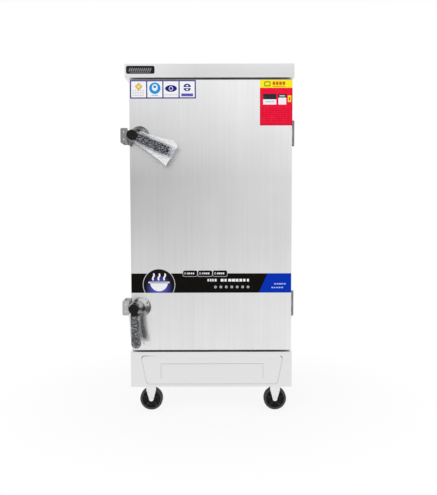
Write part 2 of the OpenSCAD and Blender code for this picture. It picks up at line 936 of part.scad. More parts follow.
module float_valve() {
    inlet_l = 24;
    inlet_wall = 4;
    nut_out = 4;
    nut_r = thread_r + nut_out;
    nut_t = 5;
    ear_t = 3;
    ear_h = 7;
    inside = float_xs[0] + sheet_t;
    place()
        color(brass)
            translate([0, valve_y, valve_z]) {
                difference() {
                    union() {
                        rod_x(thread_r, [float_xs[0] - inlet_l, inside + nut_t]);
                        hex_x(nut_r, [float_xs[0] - nut_t, float_xs[0]]);
                        hex_x(nut_r, [inside, inside + nut_t]);
                    }
                    rod_x(thread_r - inlet_wall, [float_xs[0] - inlet_l - 1, float_xs[0]]);
                }
                for (side = [-1, 1])
                    mirror([0, side < 0 ? 1 : 0, 0])
                        translate([0, arm_w / 2 + clear, 0]) {
                            span([inside + nut_t, pivot_x], [0, ear_t], [-ear_h, ear_h]);
                            translate([pivot_x, 0, 0])
                                rod_y(ear_h, [0, ear_t]);
                        }
                translate([pivot_x, 0, 0])
                    rod_y(float_pin_r, [-arm_w / 2 - clear - 1, arm_w / 2 + clear + 1]);
            }
}

module float_arm() {
    rod_r = 3;
    eye_r = 6;
    place()
        color("tomato")
            translate([pivot_x, valve_y, valve_z])
                difference() {
                    union() {
                        rod_y(eye_r, [-arm_w / 2, arm_w / 2]);
                        rotate([0, 90 - atan2(arm_end[1], arm_end[0]), 0])
                            rod_z(rod_r, [0, norm(arm_end) - ball_r + 1]);
                        translate([arm_end[0], 0, arm_end[1]])
                            sphere(ball_r);
                    }
                    rod_y(float_pin_r + run, [-arm_w, arm_w]);
                }
}

module feed_pipe() {
    nut_t = 3;
    nut_r = feed_r + 4;
    place()
        color(grey_steel)
            translate([-float_x, 0, feed_z])
                difference() {
                    union() {
                        rod_y(feed_r, [chamber_y - nut_t, body_d + sheet_t + nut_t]);
                        rod_y(nut_r, [chamber_y - nut_t, chamber_y]);
                        rod_y(nut_r, [body_d + sheet_t, body_d + sheet_t + nut_t]);
                    }
                    rod_y(feed_r - pipe_t, [chamber_y - nut_t - 1, body_d + sheet_t + nut_t + 1]);
                }
}

// A pipe that comes down and turns to the back, solid or as its bore
module drain_run(r, over) {
    translate([0, drain_y, 0])
        rod_z(r, [drain_z + drain_bend, tank_z + over]);
    translate([0, drain_y + drain_bend, drain_z + drain_bend])
        rotate([0, 90, 0])
            rotate([0, 0, -90])
                rotate_extrude(angle = 90)
                    translate([drain_bend, 0])
                        circle(r);
    translate([0, 0, drain_z])
        rod_y(r, [drain_y + drain_bend, valve_start + over]);
}

module drain_pipe() {
    flange_out = 7;
    place()
        color(grey_steel)
            translate([-drain_x, 0, 0])
                difference() {
                    union() {
                        drain_run(drain_r, 0);
                        translate([0, drain_y, 0])
                            rod_z(drain_r + flange_out, [tank_z, tank_z + pipe_t]);
                    }
                    drain_run(drain_r - pipe_t, pipe_t + 1);
                }
}

module drain_valve() {
    body_r = 17;
    nut_r = 20;
    nut_t = 9;
    neck_wall = 5;
    outlet_l = 28;
    outlet_wall = 3.5;
    mid = valve_start + tap_l / 2;
    end = valve_start + tap_l;
    place()
        color(brass)
            translate([-drain_x, 0, drain_z])
                difference() {
                    union() {
                        rod_y(body_r, [valve_start, end]);
                        hex_y(nut_r, [valve_start, valve_start + nut_t]);
                        hex_y(nut_r, [end - nut_t, end]);
                        rod_y(thread_r, [end, end + outlet_l]);
                        translate([0, mid, 0])
                            rod_z(tap_stem_r + neck_wall, [0, tap_neck]);
                    }
                    rod_y(thread_r - outlet_wall, [mid + body_r, end + outlet_l + 1]);
                    translate([0, mid, 0])
                        rod_z(tap_stem_r + run, [tap_neck - tap_stem_in, tap_neck + 1]);
                }
}

module drain_lever() {
    bar_l = 75;
    bar_w = 16;
    bar_t = 3;
    place()
        color("crimson")
            translate([-drain_x, valve_start + tap_l / 2, drain_z + tap_neck]) {
                rod_z(tap_stem_r, [1 - tap_stem_in, clear + bar_t]);
                translate([0, 0, clear])
                    linear_extrude(bar_t) {
                        circle(bar_w / 2);
                        translate([0, -bar_w / 2])
                            square([bar_l, bar_w]);
                        translate([bar_l, 0])
                            circle(bar_w / 2);
                    }
            }
}

// The vent's centre line goes to the back and then up, solid or as its bore
module vent_run(r, over) {
    translate([0, 0, vent_z])
        rod_y(r, [chamber_y - over, vent_rise_y - vent_bend]);
    translate([0, vent_rise_y - vent_bend, vent_z + vent_bend])
        rotate([0, 90, 0])
            rotate_extrude(angle = 90)
                translate([vent_bend, 0])
                    circle(r);
    translate([0, vent_rise_y, 0])
        rod_z(r, [vent_z + vent_bend, vent_top + over]);
}

module steam_vent() {
    flange_out = 8;
    flange_h = 2;
    place()
        color(grey_steel)
            difference() {
                union() {
                    vent_run(vent_r, 0);
                    translate([0, 0, vent_z])
                        rod_y(vent_r + flange_out, [body_d, body_d + flange_h]);
                }
                vent_run(vent_r - pipe_t, 1);
            }
}

// ---- Door ----

// Plan of the door with rounded front edges, shrunk by a margin and cut off at a depth
module door_plan(margin, depth) {
    r = door_edge_r - margin;
    x = [door_x[0] + margin, door_x[1] - margin];
    translate([x[0] + r, margin])
        square([x[1] - x[0] - 2 * r, depth - margin]);
    translate([x[0], margin + r])
        square([x[1] - x[0], depth - margin - r]);
    for (cx = [x[0] + r, x[1] - r])
        translate([cx, margin + r])
            circle(r);
}

module door_outer_skin() {
    depth = door_t - sheet_t;
    place()
        color(steel)
            difference() {
                translate([0, 0, door_z[0]])
                    linear_extrude(door_z[1] - door_z[0])
                        door_plan(0, depth);
                translate([0, 0, door_z[0] + sheet_t])
                    linear_extrude(door_z[1] - door_z[0] - 2 * sheet_t)
                        door_plan(sheet_t, depth + 1);
            }
}

module door_insulation() {
    place()
        color("khaki") {
            translate([0, 0, door_z[0] + sheet_t])
                linear_extrude(door_z[1] - door_z[0] - 2 * sheet_t)
                    door_plan(sheet_t, door_t - sheet_t);
            upright([door_t - sheet_t - 1, door_t + inner_press - sheet_t])
                door_rect(press_inset + sheet_t);
        }
}

// A rectangle on the door, drawn in X and Z at a distance from its edges
module door_rect(inset) {
    translate([door_x[0] + inset, door_z[0] + inset])
        square([door_x[1] - door_x[0] - 2 * inset, door_z[1] - door_z[0] - 2 * inset]);
}

module door_inner_skin() {
    place()
        color(grey_steel)
            difference() {
                union() {
                    upright([door_t - sheet_t, door_t])
                        door_rect(0);
                    upright([door_t - sheet_t, door_t + inner_press])
                        door_rect(press_inset);
                }
                upright([door_t - sheet_t - 1, door_t + inner_press - sheet_t])
                    door_rect(press_inset + sheet_t);
            }
}

module door_gasket() {
    base_h = 3;
    bulb_in = gasket_inset + (gasket_w - bulb_w) / 2;
    place()
        color("white") {
            upright([door_t, door_t + base_h])
                difference() {
                    door_rect(gasket_inset);
                    door_rect(gasket_inset + gasket_w);
                }
            upright([door_t + base_h, frame_y - clear])
                difference() {
                    door_rect(bulb_in);
                    door_rect(bulb_in + bulb_w);
                }
        }
}

// ---- Hinges ----

module hinge_frame_leaf(z) {
    half = hinge_h / 2;
    gap = knuckle_h / 2 + clear;
    place()
        color(grey_steel)
            translate([0, 0, z]) {
                translate([hinge_x, hinge_y, 0]) {
                    rod_z(hinge_pin_r, [-half, half]);
                    for (side = [-1, 1])
                        mirror([0, 0, side < 0 ? 1 : 0]) {
                            rod_z(barrel_r, [gap, half]);
                            span([-axis_out, 0], [barrel_r - web_w, barrel_r], [gap, half]);
                        }
                }
                span([half_w, half_w + leaf_t], [hinge_y + barrel_r, frame_back + leaf_w], [-half, half]);
            }
}

module upper_hinge_frame_leaf() {
    hinge_frame_leaf(hinge_zs[0]);
}

module lower_hinge_frame_leaf() {
    hinge_frame_leaf(hinge_zs[1]);
}

module hinge_door_leaf(z) {
    half = hinge_h / 2;
    leaf_x = [door_x[1], door_x[1] + min(leaf_t, hinge_gap - leaf_play)];
    web_y = [hinge_y - barrel_r, hinge_y - barrel_r + web_w];
    place()
        color(grey_steel)
            difference() {
                translate([0, 0, z]) {
                    translate([hinge_x, hinge_y, 0])
                        rod_z(barrel_r, [-knuckle_h / 2, knuckle_h / 2]);
                    span([leaf_x[0], hinge_x], web_y, [-knuckle_h / 2, knuckle_h / 2]);
                    span(leaf_x, [web_y[1] - leaf_w, web_y[1]], [-half, half]);
                }
                translate([hinge_x, hinge_y, z])
                    rod_z(hinge_pin_r + run, [-half, half]);
            }
}

module upper_hinge_door_leaf() {
    hinge_door_leaf(hinge_zs[0]);
}

module lower_hinge_door_leaf() {
    hinge_door_leaf(hinge_zs[1]);
}

// ---- Latches ----

// Turns a piece about its hub by an angle seen from the front
module turned(angle) {
    rotate([0, -angle, 0])
        children();
}

// The sector that the finger sweeps, as a wedge drawn in X and Z
module finger_sector() {
    r = flange_r * 2;
    start = 180 - swing_room;
    turn = finger_swing + 2 * swing_room;
    steps = 4;
    polygon(concat([[0, 0]],
        [for (i = [0:steps]) r * along(start + turn * i / steps)]));
}

module latch_housing(z) {
    slice = 1;
    bevel = 2;
    rose_bevel = 1.5;
    place()
        color(chrome)
            translate([hub_x, 0, z])
                difference() {
                    union() {
                        translate([flange_shift, 0, 0]) {
                            rod_y(flange_r, [rose_bevel - flange_t, 0]);
                            translate([0, rose_bevel - flange_t, 0])
                                rotate([90, 0, 0])
                                    cylinder(r1 = flange_r, r2 = flange_r - rose_bevel, h = rose_bevel);
                        }
                        hull() {
                            translate([flange_shift / 2, 0, 0])
                                rod_y(housing_foot_r, [-flange_t - slice, -flange_t], $fn = soft_fn);
                            rod_y(housing_r, [bevel + slice - housing_out, bevel + 2 * slice - housing_out],
                                $fn = soft_fn);
                            rod_y(housing_r - bevel, [-housing_out, slice - housing_out], $fn = soft_fn);
                        }
                    }
                    rod_y(pocket_r, [pocket_front, -flange_t]);
                    upright([pocket_front, -flange_t])
                        finger_sector();
                    rod_y(spindle_r + run, [-housing_out - 1, pocket_front + 1]);
                }
}

module upper_latch_housing() {
    latch_housing(latch_zs[0]);
}

module lower_latch_housing() {
    latch_housing(latch_zs[1]);
}

module spindle(z, angle) {
    place()
        color(dark_steel)
            translate([hub_x, 0, z])
                turned(angle - finger_swing) {
                    rod_y(spindle_r, [lever_y[0] + lever_cap, finger_y[0]]);
                    rod_y(cam_r, finger_y);
                    span([0, finger_r - finger_w / 2], finger_y, [-finger_w / 2, finger_w / 2]);
                    translate([finger_r - finger_w / 2, 0, 0])
                        rod_y(finger_w / 2, finger_y);
                }
}

module upper_spindle() {
    spindle(latch_zs[0], upper_lever_angle);
}

module lower_spindle() {
    spindle(latch_zs[1], lower_lever_angle);
}

// A round pad with a softened front and back edge, as an end of the grip
module grip_pad(r) {
    soft = lever_t / 4;
    rotate([-90, 0, 0]) {
        cylinder(r = r, h = lever_t - 2 * soft, center = true, $fn = soft_fn);
        cylinder(r = r - soft, h = lever_t, center = true, $fn = soft_fn);
    }
}

module lever(z, angle) {
    neck_w = lever_w * 0.75;
    place()
        color(black_plastic)
            translate([hub_x, 0, z])
                turned(angle)
                    difference() {
                        union() {
                            rod_y(lever_hub_r, lever_y);
                            translate([0, lever_mid, 0])
                                hull() {
                                    translate([lever_hub_r / 2, 0, 0])
                                        grip_pad(neck_w / 2);
                                    translate([lever_l - lever_w / 2, 0, 0])
                                        grip_pad(lever_w / 2);
                                }
                        }
                        rod_y(spindle_r, [lever_y[0] + lever_cap, lever_y[1] + 1]);
                    }
}

module upper_lever() {
    lever(latch_zs[0], upper_lever_angle);
}

module lower_lever() {
    lever(latch_zs[1], lower_lever_angle);
}

// A flat tube of film, drawn along the lever, that widens from its neck to its end
module sleeve(z, angle, neck, end, reach) {
    y = [lever_y[0] - clear, lever_y[1] + clear];
    x = [sleeve_start, lever_l + reach];
    place()
        color("lightcyan")
            translate([hub_x, 0, z])
                turned(angle)
                    difference() {
                        upright([y[0] - film_t, y[1] + film_t])
                            polygon([[x[0], -neck / 2], [x[1], -end / 2], [x[1], end / 2],
                                [x[0], neck / 2]]);
                        upright(y)
                            polygon([[x[0] - 1, film_t - neck / 2], [x[1] - film_t, film_t - end / 2],
                                [x[1] - film_t, end / 2 - film_t], [x[0] - 1, neck / 2 - film_t]]);
                    }
}

module upper_lever_sleeve() {
    sleeve(latch_zs[0], upper_lever_angle, sleeve_neck_w, flare_w, flare_over);
}

module lower_lever_sleeve() {
    snug = lever_w + 2 * (clear + film_t);
    sleeve(latch_zs[1], lower_lever_angle, snug, snug, clear + film_t);
}

module keeper(z) {
    place()
        color(chrome)
            translate([0, 0, z])
                difference() {
                    intersection() {
                        union() {
                            span(keeper_x, lip_y, [-keeper_h / 2, keeper_h / 2]);
                            span(keeper_x, [lip_y[1], lip_y[1] + wear_t],
                                [-keeper_h / 2 + keeper_r, keeper_h / 2 - keeper_r]);
                            span([keeper_x[0], keeper_x[0] + web_t], [lip_y[0], keeper_back[1]],
                                [-keeper_h / 2, keeper_h / 2]);
                            span(keeper_x, keeper_back, [-keeper_h / 2, keeper_h / 2]);
                            span([keeper_x[1] - keeper_leaf_t, keeper_x[1]],
                                [keeper_back[0], keeper_back[1] + keeper_leaf_d],
                                [-keeper_h / 2, keeper_h / 2]);
                        }
                        upright([lip_y[0] - 1, keeper_back[1] + keeper_leaf_d + 1])
                            translate([keeper_x[1], 0])
                                round_rect(2 * keeper_out, keeper_h, keeper_r);
                    }
                    translate([hub_x, 0, 0])
                        rod_y(notch_r, [lip_y[0] - 1, 0]);
                    // Face sunk inside a rim that also follows the notch
                    upright([lip_y[0] - 1, lip_y[0] + keeper_sunk])
                        difference() {
                            translate([(keeper_x[0] + keeper_x[1]) / 2, 0])
                                round_rect(keeper_out - 2 * keeper_rim, keeper_h - 2 * keeper_rim,
                                    keeper_r - keeper_rim);
                            translate([hub_x, 0])
                                circle(notch_r + keeper_rim);
                        }
                }
}

module upper_keeper() {
    keeper(latch_zs[0]);
}

module lower_keeper() {
    keeper(latch_zs[1]);
}

// ---- Castors ----

// A wheel about Z: a rounded tyre, a thinner web with spokes on both faces and a hub that runs
// between the fork's legs
module wheel_body() {
    tyre_t = wheel_r * 0.2;
    edge_r = 4;
    boss_r = axle_r + 8;
    web_sunk = 6;
    spoke_sunk = 2;
    web_half = wheel_w / 2 - web_sunk;
    spoke_half = wheel_w / 2 - spoke_sunk;
    difference() {
        union() {
            rotate_extrude() {
                translate([0, -hub_half])
                    square([boss_r, 2 * hub_half]);
                translate([boss_r - 1, -web_half])
                    square([wheel_r - tyre_t - boss_r + 2, 2 * web_half]);
                translate([wheel_r - tyre_t, -wheel_w / 2])
                    square([tyre_t - edge_r, wheel_w]);
                translate([wheel_r - tyre_t, edge_r - wheel_w / 2])
                    square([tyre_t, wheel_w - 2 * edge_r]);
                for (side = [-1, 1])
                    translate([wheel_r - edge_r, side * (wheel_w / 2 - edge_r)])
                        circle(edge_r);
            }
            for (i = [0:spokes - 1])
                rotate([0, 0, 90 + i * 360 / spokes])
                    span([boss_r - 1, wheel_r - tyre_t + 1], [-spoke_w / 2, spoke_w / 2],
                        [-spoke_half, spoke_half]);
        }
        rod_z(axle_r + run, [-hub_half - 1, hub_half + 1]);
    }
}

// A stepped axle about Z, with a head outside each leg
module axle_body() {
    head_r = axle_r + 3;
    head_t = 2.5;
    rod_z(axle_r, [-leg_out, leg_out]);
    for (side = [-1, 1])
        mirror([0, 0, side < 0 ? 1 : 0])
            rod_z(head_r, [leg_out, leg_out + head_t]);
}

module front_wheel(x) {
    place()
        color(black_plastic)
            translate([x, castor_ys[0], axle_z])
                rotate([90, 0, 0])
                    wheel_body();
}

module front_left_wheel() {
    front_wheel(castor_xs[0]);
}

module front_right_wheel() {
    front_wheel(castor_xs[1]);
}

module front_axle(x) {
    place()
        color(grey_steel)
            translate([x, castor_ys[0], axle_z])
                rotate([90, 0, 0])
                    axle_body();
}

module front_left_axle() {
    front_axle(castor_xs[0]);
}

module front_right_axle() {
    front_axle(castor_xs[1]);
}

// Outline of a fixed fork's leg, drawn in X and Z about the axle and shrunk by a margin
module fixed_leg_outline(margin) {
    r = fork_foot_r - margin;
    shoulder = [fork_shoulder_w / 2 - margin, shoulder_z - axle_z];
    top = [fork_top_w / 2 - margin, plate_z - axle_z];
    a = tangent_angle(shoulder[0], shoulder[1], r);
    foot = r * along(a);
    circle(r);
    polygon([[-top[0], top[1]], top, shoulder, foot, [-foot[0], foot[1]],
        [-shoulder[0], shoulder[1]]]);
}

module fixed_castor_fork(x) {
    edge_stop = 6;
    place()
        color(steel)
            translate([x, castor_ys[0], 0]) {
                span([-plate_w / 2, plate_w / 2], [-plate_d / 2, plate_d / 2], [plate_z, base_z]);
                for (side = [-1, 1])
                    mirror([0, side < 0 ? 1 : 0, 0])
                        translate([0, 0, axle_z])
                            difference() {
                                upright([leg_in, leg_out + fork_edge])
                                    fixed_leg_outline(0);
                                // The edges stay raised, down to where the leg rounds its foot
                                upright([leg_out, leg_out + fork_edge + 1])
                                    fixed_leg_outline(fork_t);
                                span([-fork_top_w, fork_top_w], [leg_out, leg_out + fork_edge + 1],
                                    [-fork_foot_r - 1, fork_foot_r + edge_stop]);
                                rod_y(axle_r, [leg_in - 1, leg_out + 1]);
                            }
            }
}

module front_left_castor_fork() {
    fixed_castor_fork(castor_xs[0]);
}

module front_right_castor_fork() {
    fixed_castor_fork(castor_xs[1]);
}

// Plate, ball race and king pin of a swivel castor
module swivel_plate(x) {
    race_out = 2;
    nut_h = 4;
    nut_out = 3;
    place()
        color(steel)
            translate([x, castor_ys[1], 0]) {
                span([-plate_w / 2, plate_w / 2], [-plate_d / 2, plate_d / 2], [plate_z, base_z]);
                rod_z(crown_r + race_out, [plate_z - race_h, plate_z]);
                rod_z(king_r, [crown_z[0] - clear - nut_h, plate_z]);
                rod_z(king_r + nut_out, [crown_z[0] - clear - nut_h, crown_z[0] - clear]);
            }
}

module rear_left_castor_plate() {
    swivel_plate(castor_xs[0]);
}

module rear_right_castor_plate() {
    swivel_plate(castor_xs[1]);
}

// Outline of a swivel fork's leg, drawn in Y and Z about the king pin on the floor
module swivel_leg_outline() {
    past_pin = brake_pivot[0] + 6;
    pin_z = [brake_pivot[1] - 8, brake_pivot[1] + 2];
    translate([trail, axle_z])
        circle(fork_foot_r);
    polygon([[crown_y[0], crown_z[0]], [trail - fork_foot_r, axle_z], [trail + fork_foot_r, axle_z],
        [past_pin, pin_z[0]], [past_pin, pin_z[1]], [crown_y[1], crown_z[0]]]);
}

module swivel_fork(x) {
    place()
        color(steel)
            translate([x, castor_ys[1], 0])
                difference() {
                    union() {
                        rod_z(crown_r, crown_z);
                        for (side = [-1, 1])
                            mirror([side < 0 ? 1 : 0, 0, 0])
                                translate([leg_in, 0, 0])
                                    rotate([90, 0, 90])
                                        linear_extrude(fork_t)
                                            swivel_leg_outline();
                        // Crown flanges that the legs hang from
                        span([-leg_out, leg_out], crown_y, crown_z);
                        // Pin of the brake
                        translate([0, brake_pivot[0], brake_pivot[1]])
                            rod_x(brake_pin_r, [-leg_out, leg_out]);
                    }
                    rod_z(king_r + run, [crown_z[0] - 1, crown_z[1] + 1]);
                    translate([0, trail, axle_z])
                        rod_x(axle_r, [-leg_out - 1, leg_out + 1]);
                }
}

module rear_left_fork() {
    swivel_fork(castor_xs[0]);
}

module rear_right_fork() {
    swivel_fork(castor_xs[1]);
}

module rear_axle(x) {
    place()
        color(grey_steel)
            translate([x, castor_ys[1] + trail, axle_z])
                rotate([0, 90, 0])
                    axle_body();
}

module rear_left_axle() {
    rear_axle(castor_xs[0]);
}

module rear_right_axle() {
    rear_axle(castor_xs[1]);
}

module rear_wheel(x) {
    place()
        color(black_plastic)
            translate([x, castor_ys[1] + trail, axle_z])
                rotate([0, 90, 0])
                    wheel_body();
}

module rear_left_wheel() {
    rear_wheel(castor_xs[0]);
}

module rear_right_wheel() {
    rear_wheel(castor_xs[1]);
}

// A foot brake about the wheel's axle along X: a flat shoe over the tyre, an eye for the pin and a
// tread that sticks out to the back
module brake(x) {
    half = leg_in - clear - brake_play;
    eye = [brake_pivot[0] - trail, brake_pivot[1] - axle_z];
    eye_r = brake_pin_r + brake_eye_wall;
    tread = [shoe_r + tread_reach, eye[1] - tread_drop];
    place()
        color("firebrick")
            translate([x, castor_ys[1] + trail, axle_z])
                difference() {
                    union() {
                        translate([-half, 0, 0])
                            rotate([90, 0, 90])
                                linear_extrude(2 * half)
                                    polygon([eye + [0, eye_r - clear], tread + [0, tread_t], tread,
                                        shoe_r * along(shoe_span[0]), shoe_r * along(shoe_span[1])]);
                        translate([0, eye[0], eye[1]])
                            rod_x(eye_r, [-half, half]);
                    }
                    translate([0, eye[0], eye[1]])
                        rod_x(brake_pin_r + run, [-half - 1, half + 1]);
                }
}

module rear_left_brake() {
    brake(castor_xs[0]);
}

module rear_right_brake() {
    brake(castor_xs[1]);
}

// ---- Dispatcher ----

base_frame();
base_front_panel();
cabinet_shell();
cabinet_insulation();
cabinet_liner();
front_frame();
top_cap();
tray_rack_left();
tray_rack_right();
steam_plate();
steam_trays();
heating_element();
terminal_box();
terminal_cover();
terminal_block();
cable_gland();
float_box();
float_box_lid();
float_valve();
float_arm();
feed_pipe();
drain_pipe();
drain_valve();
drain_lever();
steam_vent();
door_outer_skin();
door_insulation();
door_inner_skin();
door_gasket();
upper_hinge_frame_leaf();
lower_hinge_frame_leaf();
upper_hinge_door_leaf();
lower_hinge_door_leaf();
upper_latch_housing();
lower_latch_housing();
upper_spindle();
lower_spindle();
upper_lever();
lower_lever();
upper_lever_sleeve();
lower_lever_sleeve();
upper_keeper();
lower_keeper();
front_left_castor_fork();
front_right_castor_fork();
front_left_axle();
front_right_axle();
front_left_wheel();
front_right_wheel();
rear_left_castor_plate();
rear_right_castor_plate();
rear_left_fork();
rear_right_fork();
rear_left_axle();
rear_right_axle();
rear_left_wheel();
rear_right_wheel();
rear_left_brake();
rear_right_brake();
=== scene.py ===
# %% [markdown]
# # Steam cabinet for rice noodle rolls
# A stainless cabinet on castors holds a rack of trays over a heated water tank. One insulated door
# closes it with two lever latches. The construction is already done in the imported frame, in metres,
# with Z up and the door facing -Y. This lesson gives every part its finish and adds what only
# shows: folded edges, screws, clear film on the levers, a name plate, stickers and a printed band.

import math
import random

import bmesh
import bpy
from mathutils import Matrix, Vector, noise


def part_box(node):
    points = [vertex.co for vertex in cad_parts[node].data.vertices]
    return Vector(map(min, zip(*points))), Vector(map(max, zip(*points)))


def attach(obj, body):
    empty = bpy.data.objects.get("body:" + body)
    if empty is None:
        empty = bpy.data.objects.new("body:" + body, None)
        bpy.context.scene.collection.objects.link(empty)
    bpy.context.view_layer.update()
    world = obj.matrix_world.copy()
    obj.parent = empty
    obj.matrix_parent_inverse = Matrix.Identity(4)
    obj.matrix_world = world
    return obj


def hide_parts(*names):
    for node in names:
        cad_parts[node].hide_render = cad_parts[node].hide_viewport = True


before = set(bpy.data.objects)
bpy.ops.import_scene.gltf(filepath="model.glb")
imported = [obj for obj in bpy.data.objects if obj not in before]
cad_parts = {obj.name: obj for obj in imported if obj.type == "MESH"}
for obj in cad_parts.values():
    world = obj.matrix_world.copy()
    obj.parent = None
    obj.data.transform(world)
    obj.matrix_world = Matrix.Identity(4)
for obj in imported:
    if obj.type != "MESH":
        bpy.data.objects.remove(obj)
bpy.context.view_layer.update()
MM = 0.001

# %% [markdown]
# ## Where things are
# New pieces have to sit on the parts they belong to. Their places could be plain numbers, but the
# boxes of a few parts keep them right when the construction changes.

# %% Places read from the frame
DOOR_LO, DOOR_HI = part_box("door_outer_skin")
CAP_LO, CAP_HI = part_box("top_cap")
BODY_LO, BODY_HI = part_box("cabinet_shell")
DOOR_FACE = DOOR_LO[1]
MIDDLE_X = (BODY_LO[0] + BODY_HI[0]) / 2
print("door face at y", round(DOOR_FACE, 4), "cabinet middle at x", round(MIDDLE_X, 4))


def from_middle(x_mm):
    """X of a point that lies x_mm to the right of the cabinet's middle."""
    return MIDDLE_X + x_mm * MM


# %% [markdown]
# ## Camera
# The camera stands a little above the middle of the door, 2.8 m in front of it, and looks very
# slightly down, so the top cap shows its underside and the rear castors stay hidden. A camera can
# be placed by eye, but numbers give the same view on every run. The lens is found from the height
# of the image in pixels and the focal length in pixels.

# %% Camera
IMAGE_HEIGHT = 495
FOCAL_PIXELS = 652.2
SENSOR = 36.0
CAMERA_DISTANCE = 2.8
CAMERA_HEIGHT = 0.9149
CAMERA_SIDE = 32.6
PITCH_DOWN = 0.066
ROLL = 0.002
FAR_CLIP = 50

camera_data = bpy.data.cameras.new("camera")
camera_data.lens = FOCAL_PIXELS / IMAGE_HEIGHT * SENSOR
camera_data.sensor_width = SENSOR
camera_data.clip_end = FAR_CLIP
camera = bpy.data.objects.new("camera", camera_data)
bpy.context.collection.objects.link(camera)
camera.matrix_world = (
    Matrix.Translation((from_middle(CAMERA_SIDE), DOOR_FACE - CAMERA_DISTANCE, CAMERA_HEIGHT))
    @ Matrix.Rotation(math.pi / 2 - PITCH_DOWN, 4, "X")
    @ Matrix.Rotation(-ROLL, 4, "Z")
)
bpy.context.scene.camera = camera
bpy.context.scene.view_settings.view_transform = "Standard"
print("lens", round(camera_data.lens, 2), "mm")

# %% [markdown]
# ## Shader maths as Python
# A finish is a small tree of nodes. Nodes can be added and linked one at a time, but a sum is
# easier to read as an expression. So a `Wire` wraps one socket, and the usual operators add Math
# nodes, also with a plain number on the left.


# %% Wire
class Wire:
    """One output socket that can be used in an expression."""

    def __init__(self, nodes, socket):
        self.nodes = nodes
        self.socket = socket

    def math(self, operation, a, b):
        return self.nodes.node("ShaderNodeMath", {"operation": operation}, {0: a, 1: b})

    def __add__(self, other):
        return self.math("ADD", self, other)

    def __radd__(self, other):
        return self.math("ADD", other, self)

    def __sub__(self, other):
        return self.math("SUBTRACT", self, other)

    def __rsub__(self, other):
        return self.math("SUBTRACT", other, self)

    def __mul__(self, other):
        return self.math("MULTIPLY", self, other)

    def __rmul__(self, other):
        return self.math("MULTIPLY", other, self)


# %% [markdown]
# ## One method for every node
# A method for each kind of node would be long, so one method makes any node, from its type, its
# settings and the values or wires of its sockets. It serves any tree, also the world's.


# %% Nodes
class Nodes:
    """A node tree, with one method that makes any node."""

    def __init__(self, tree):
        self.tree = tree

    def node(self, kind, settings, sockets, out=0):
        made = self.tree.nodes.new(kind)
        for key, value in settings.items():
            if key == "stops":
                self.set_stops(made.color_ramp, value)
            else:
                setattr(made, key, value)
        for key, value in sockets.items():
            self.feed(made.inputs[key], value)
        return Wire(self, made.outputs[out])

    @staticmethod
    def set_stops(ramp, stops):
        while len(ramp.elements) < len(stops):
            ramp.elements.new(1.0)
        for element, (position, grey) in zip(ramp.elements, stops):
            element.position = position
            element.color = (grey, grey, grey, 1)

    def feed(self, socket, value):
        if isinstance(value, Wire):
            self.tree.links.new(value.socket, socket)
        elif socket.type == "RGBA":
            socket.default_value = (*value[:3], 1)
        else:
            socket.default_value = value

    def larger(self, a, b):
        return self.node("ShaderNodeMath", {"operation": "MAXIMUM"}, {0: a, 1: b})


# %% [markdown]
# ## A material
# `Finish` adds what each material needs: the shader, the place on the object, and short names for
# the nodes that come back most. Patterns follow Object coordinates, which are true lengths, so the
# grain has one size on large and small parts and needs no layout of the surface.


# %% Finish
class Finish(Nodes):
    """A material, its Principled shader and its Object coordinates."""

    def __init__(self, name):
        self.material = bpy.data.materials.new(name)
        self.material.use_nodes = True
        super().__init__(self.material.node_tree)
        self.shader = self.tree.nodes["Principled BSDF"]
        self.place = self.node("ShaderNodeTexCoord", {}, {}, "Object")

    def set(self, **values):
        """Feeds sockets of the shader; an underscore stands for a space."""
        for key, value in values.items():
            self.feed(self.shader.inputs[key.replace("_", " ")], value)

    def attribute(self, name):
        return self.node("ShaderNodeAttribute", {"attribute_name": name}, {}, "Fac")

    def coordinate(self, axis):
        return self.node("ShaderNodeSeparateXYZ", {}, {0: self.place}, axis)

    def stretched(self, scale, turn=0.0):
        """Object coordinates turned round Y, with a different scale along each axis."""
        turned = (0, math.radians(-turn), 0)
        return self.node(
            "ShaderNodeMapping", {}, {"Vector": self.place, "Rotation": turned, "Scale": scale}
        )

    def noise(self, vector, scale, detail, roughness):
        return self.node(
            "ShaderNodeTexNoise",
            {},
            {"Vector": vector, "Scale": scale, "Detail": detail, "Roughness": roughness},
        )

    def vector(self, operation, *values, out=0):
        return self.node(
            "ShaderNodeVectorMath", {"operation": operation}, dict(enumerate(values)), out
        )

    def ramp(self, value, *stops):
        return self.node("ShaderNodeValToRGB", {"stops": stops}, {0: value})

    def mix(self, factor, a, b):
        return self.node("ShaderNodeMix", {"data_type": "RGBA"}, {0: factor, 6: a, 7: b}, 2)

    def dimmed(self, tone, shade):
        """A tone that goes to black as the shade goes to nought."""
        return self.mix(shade, (0, 0, 0), tone)

    def bump(self, height, distance, strength=1.0):
        return self.node(
            "ShaderNodeBump", {}, {"Height": height, "Distance": distance, "Strength": strength}
        )


# %% [markdown]
# ## Brushed stainless sheet
# The outside is stainless sheet, brushed upright on the door and the sides and across on the cap
# and the base. An image of brushed metal would repeat itself over a tall door, so the brushing is
# a noise that is fine across the grain and very long along it. Three sizes of it are added: broad
# soft bands, narrow streaks and the finest scratches, which also lift the surface. A slow sheen is
# painted reflection, for a sheet that is never quite flat, and handling leaves faint smudges. The
# attribute `fold` paints light on folds that face up and shade on those that face aside or down.

# %% Brushed sheet
AXES = {"x": 0, "y": 1, "z": 2}
GRAIN, FINE_GRAIN = 0.02, 0.008
BAND_SCALE, STREAK_SCALE, SCRATCH_SCALE = 9, 95, 1400
PAINTED_SHEEN_SCALE, SMUDGE_SCALE = 5, 7
SCRATCH_DEPTH = 0.00006


def grain_scale(axis, along):
    """Scale that stretches a pattern along one axis."""
    scale = [1.0, 1.0, 1.0]
    scale[AXES[axis]] = along
    return tuple(scale)


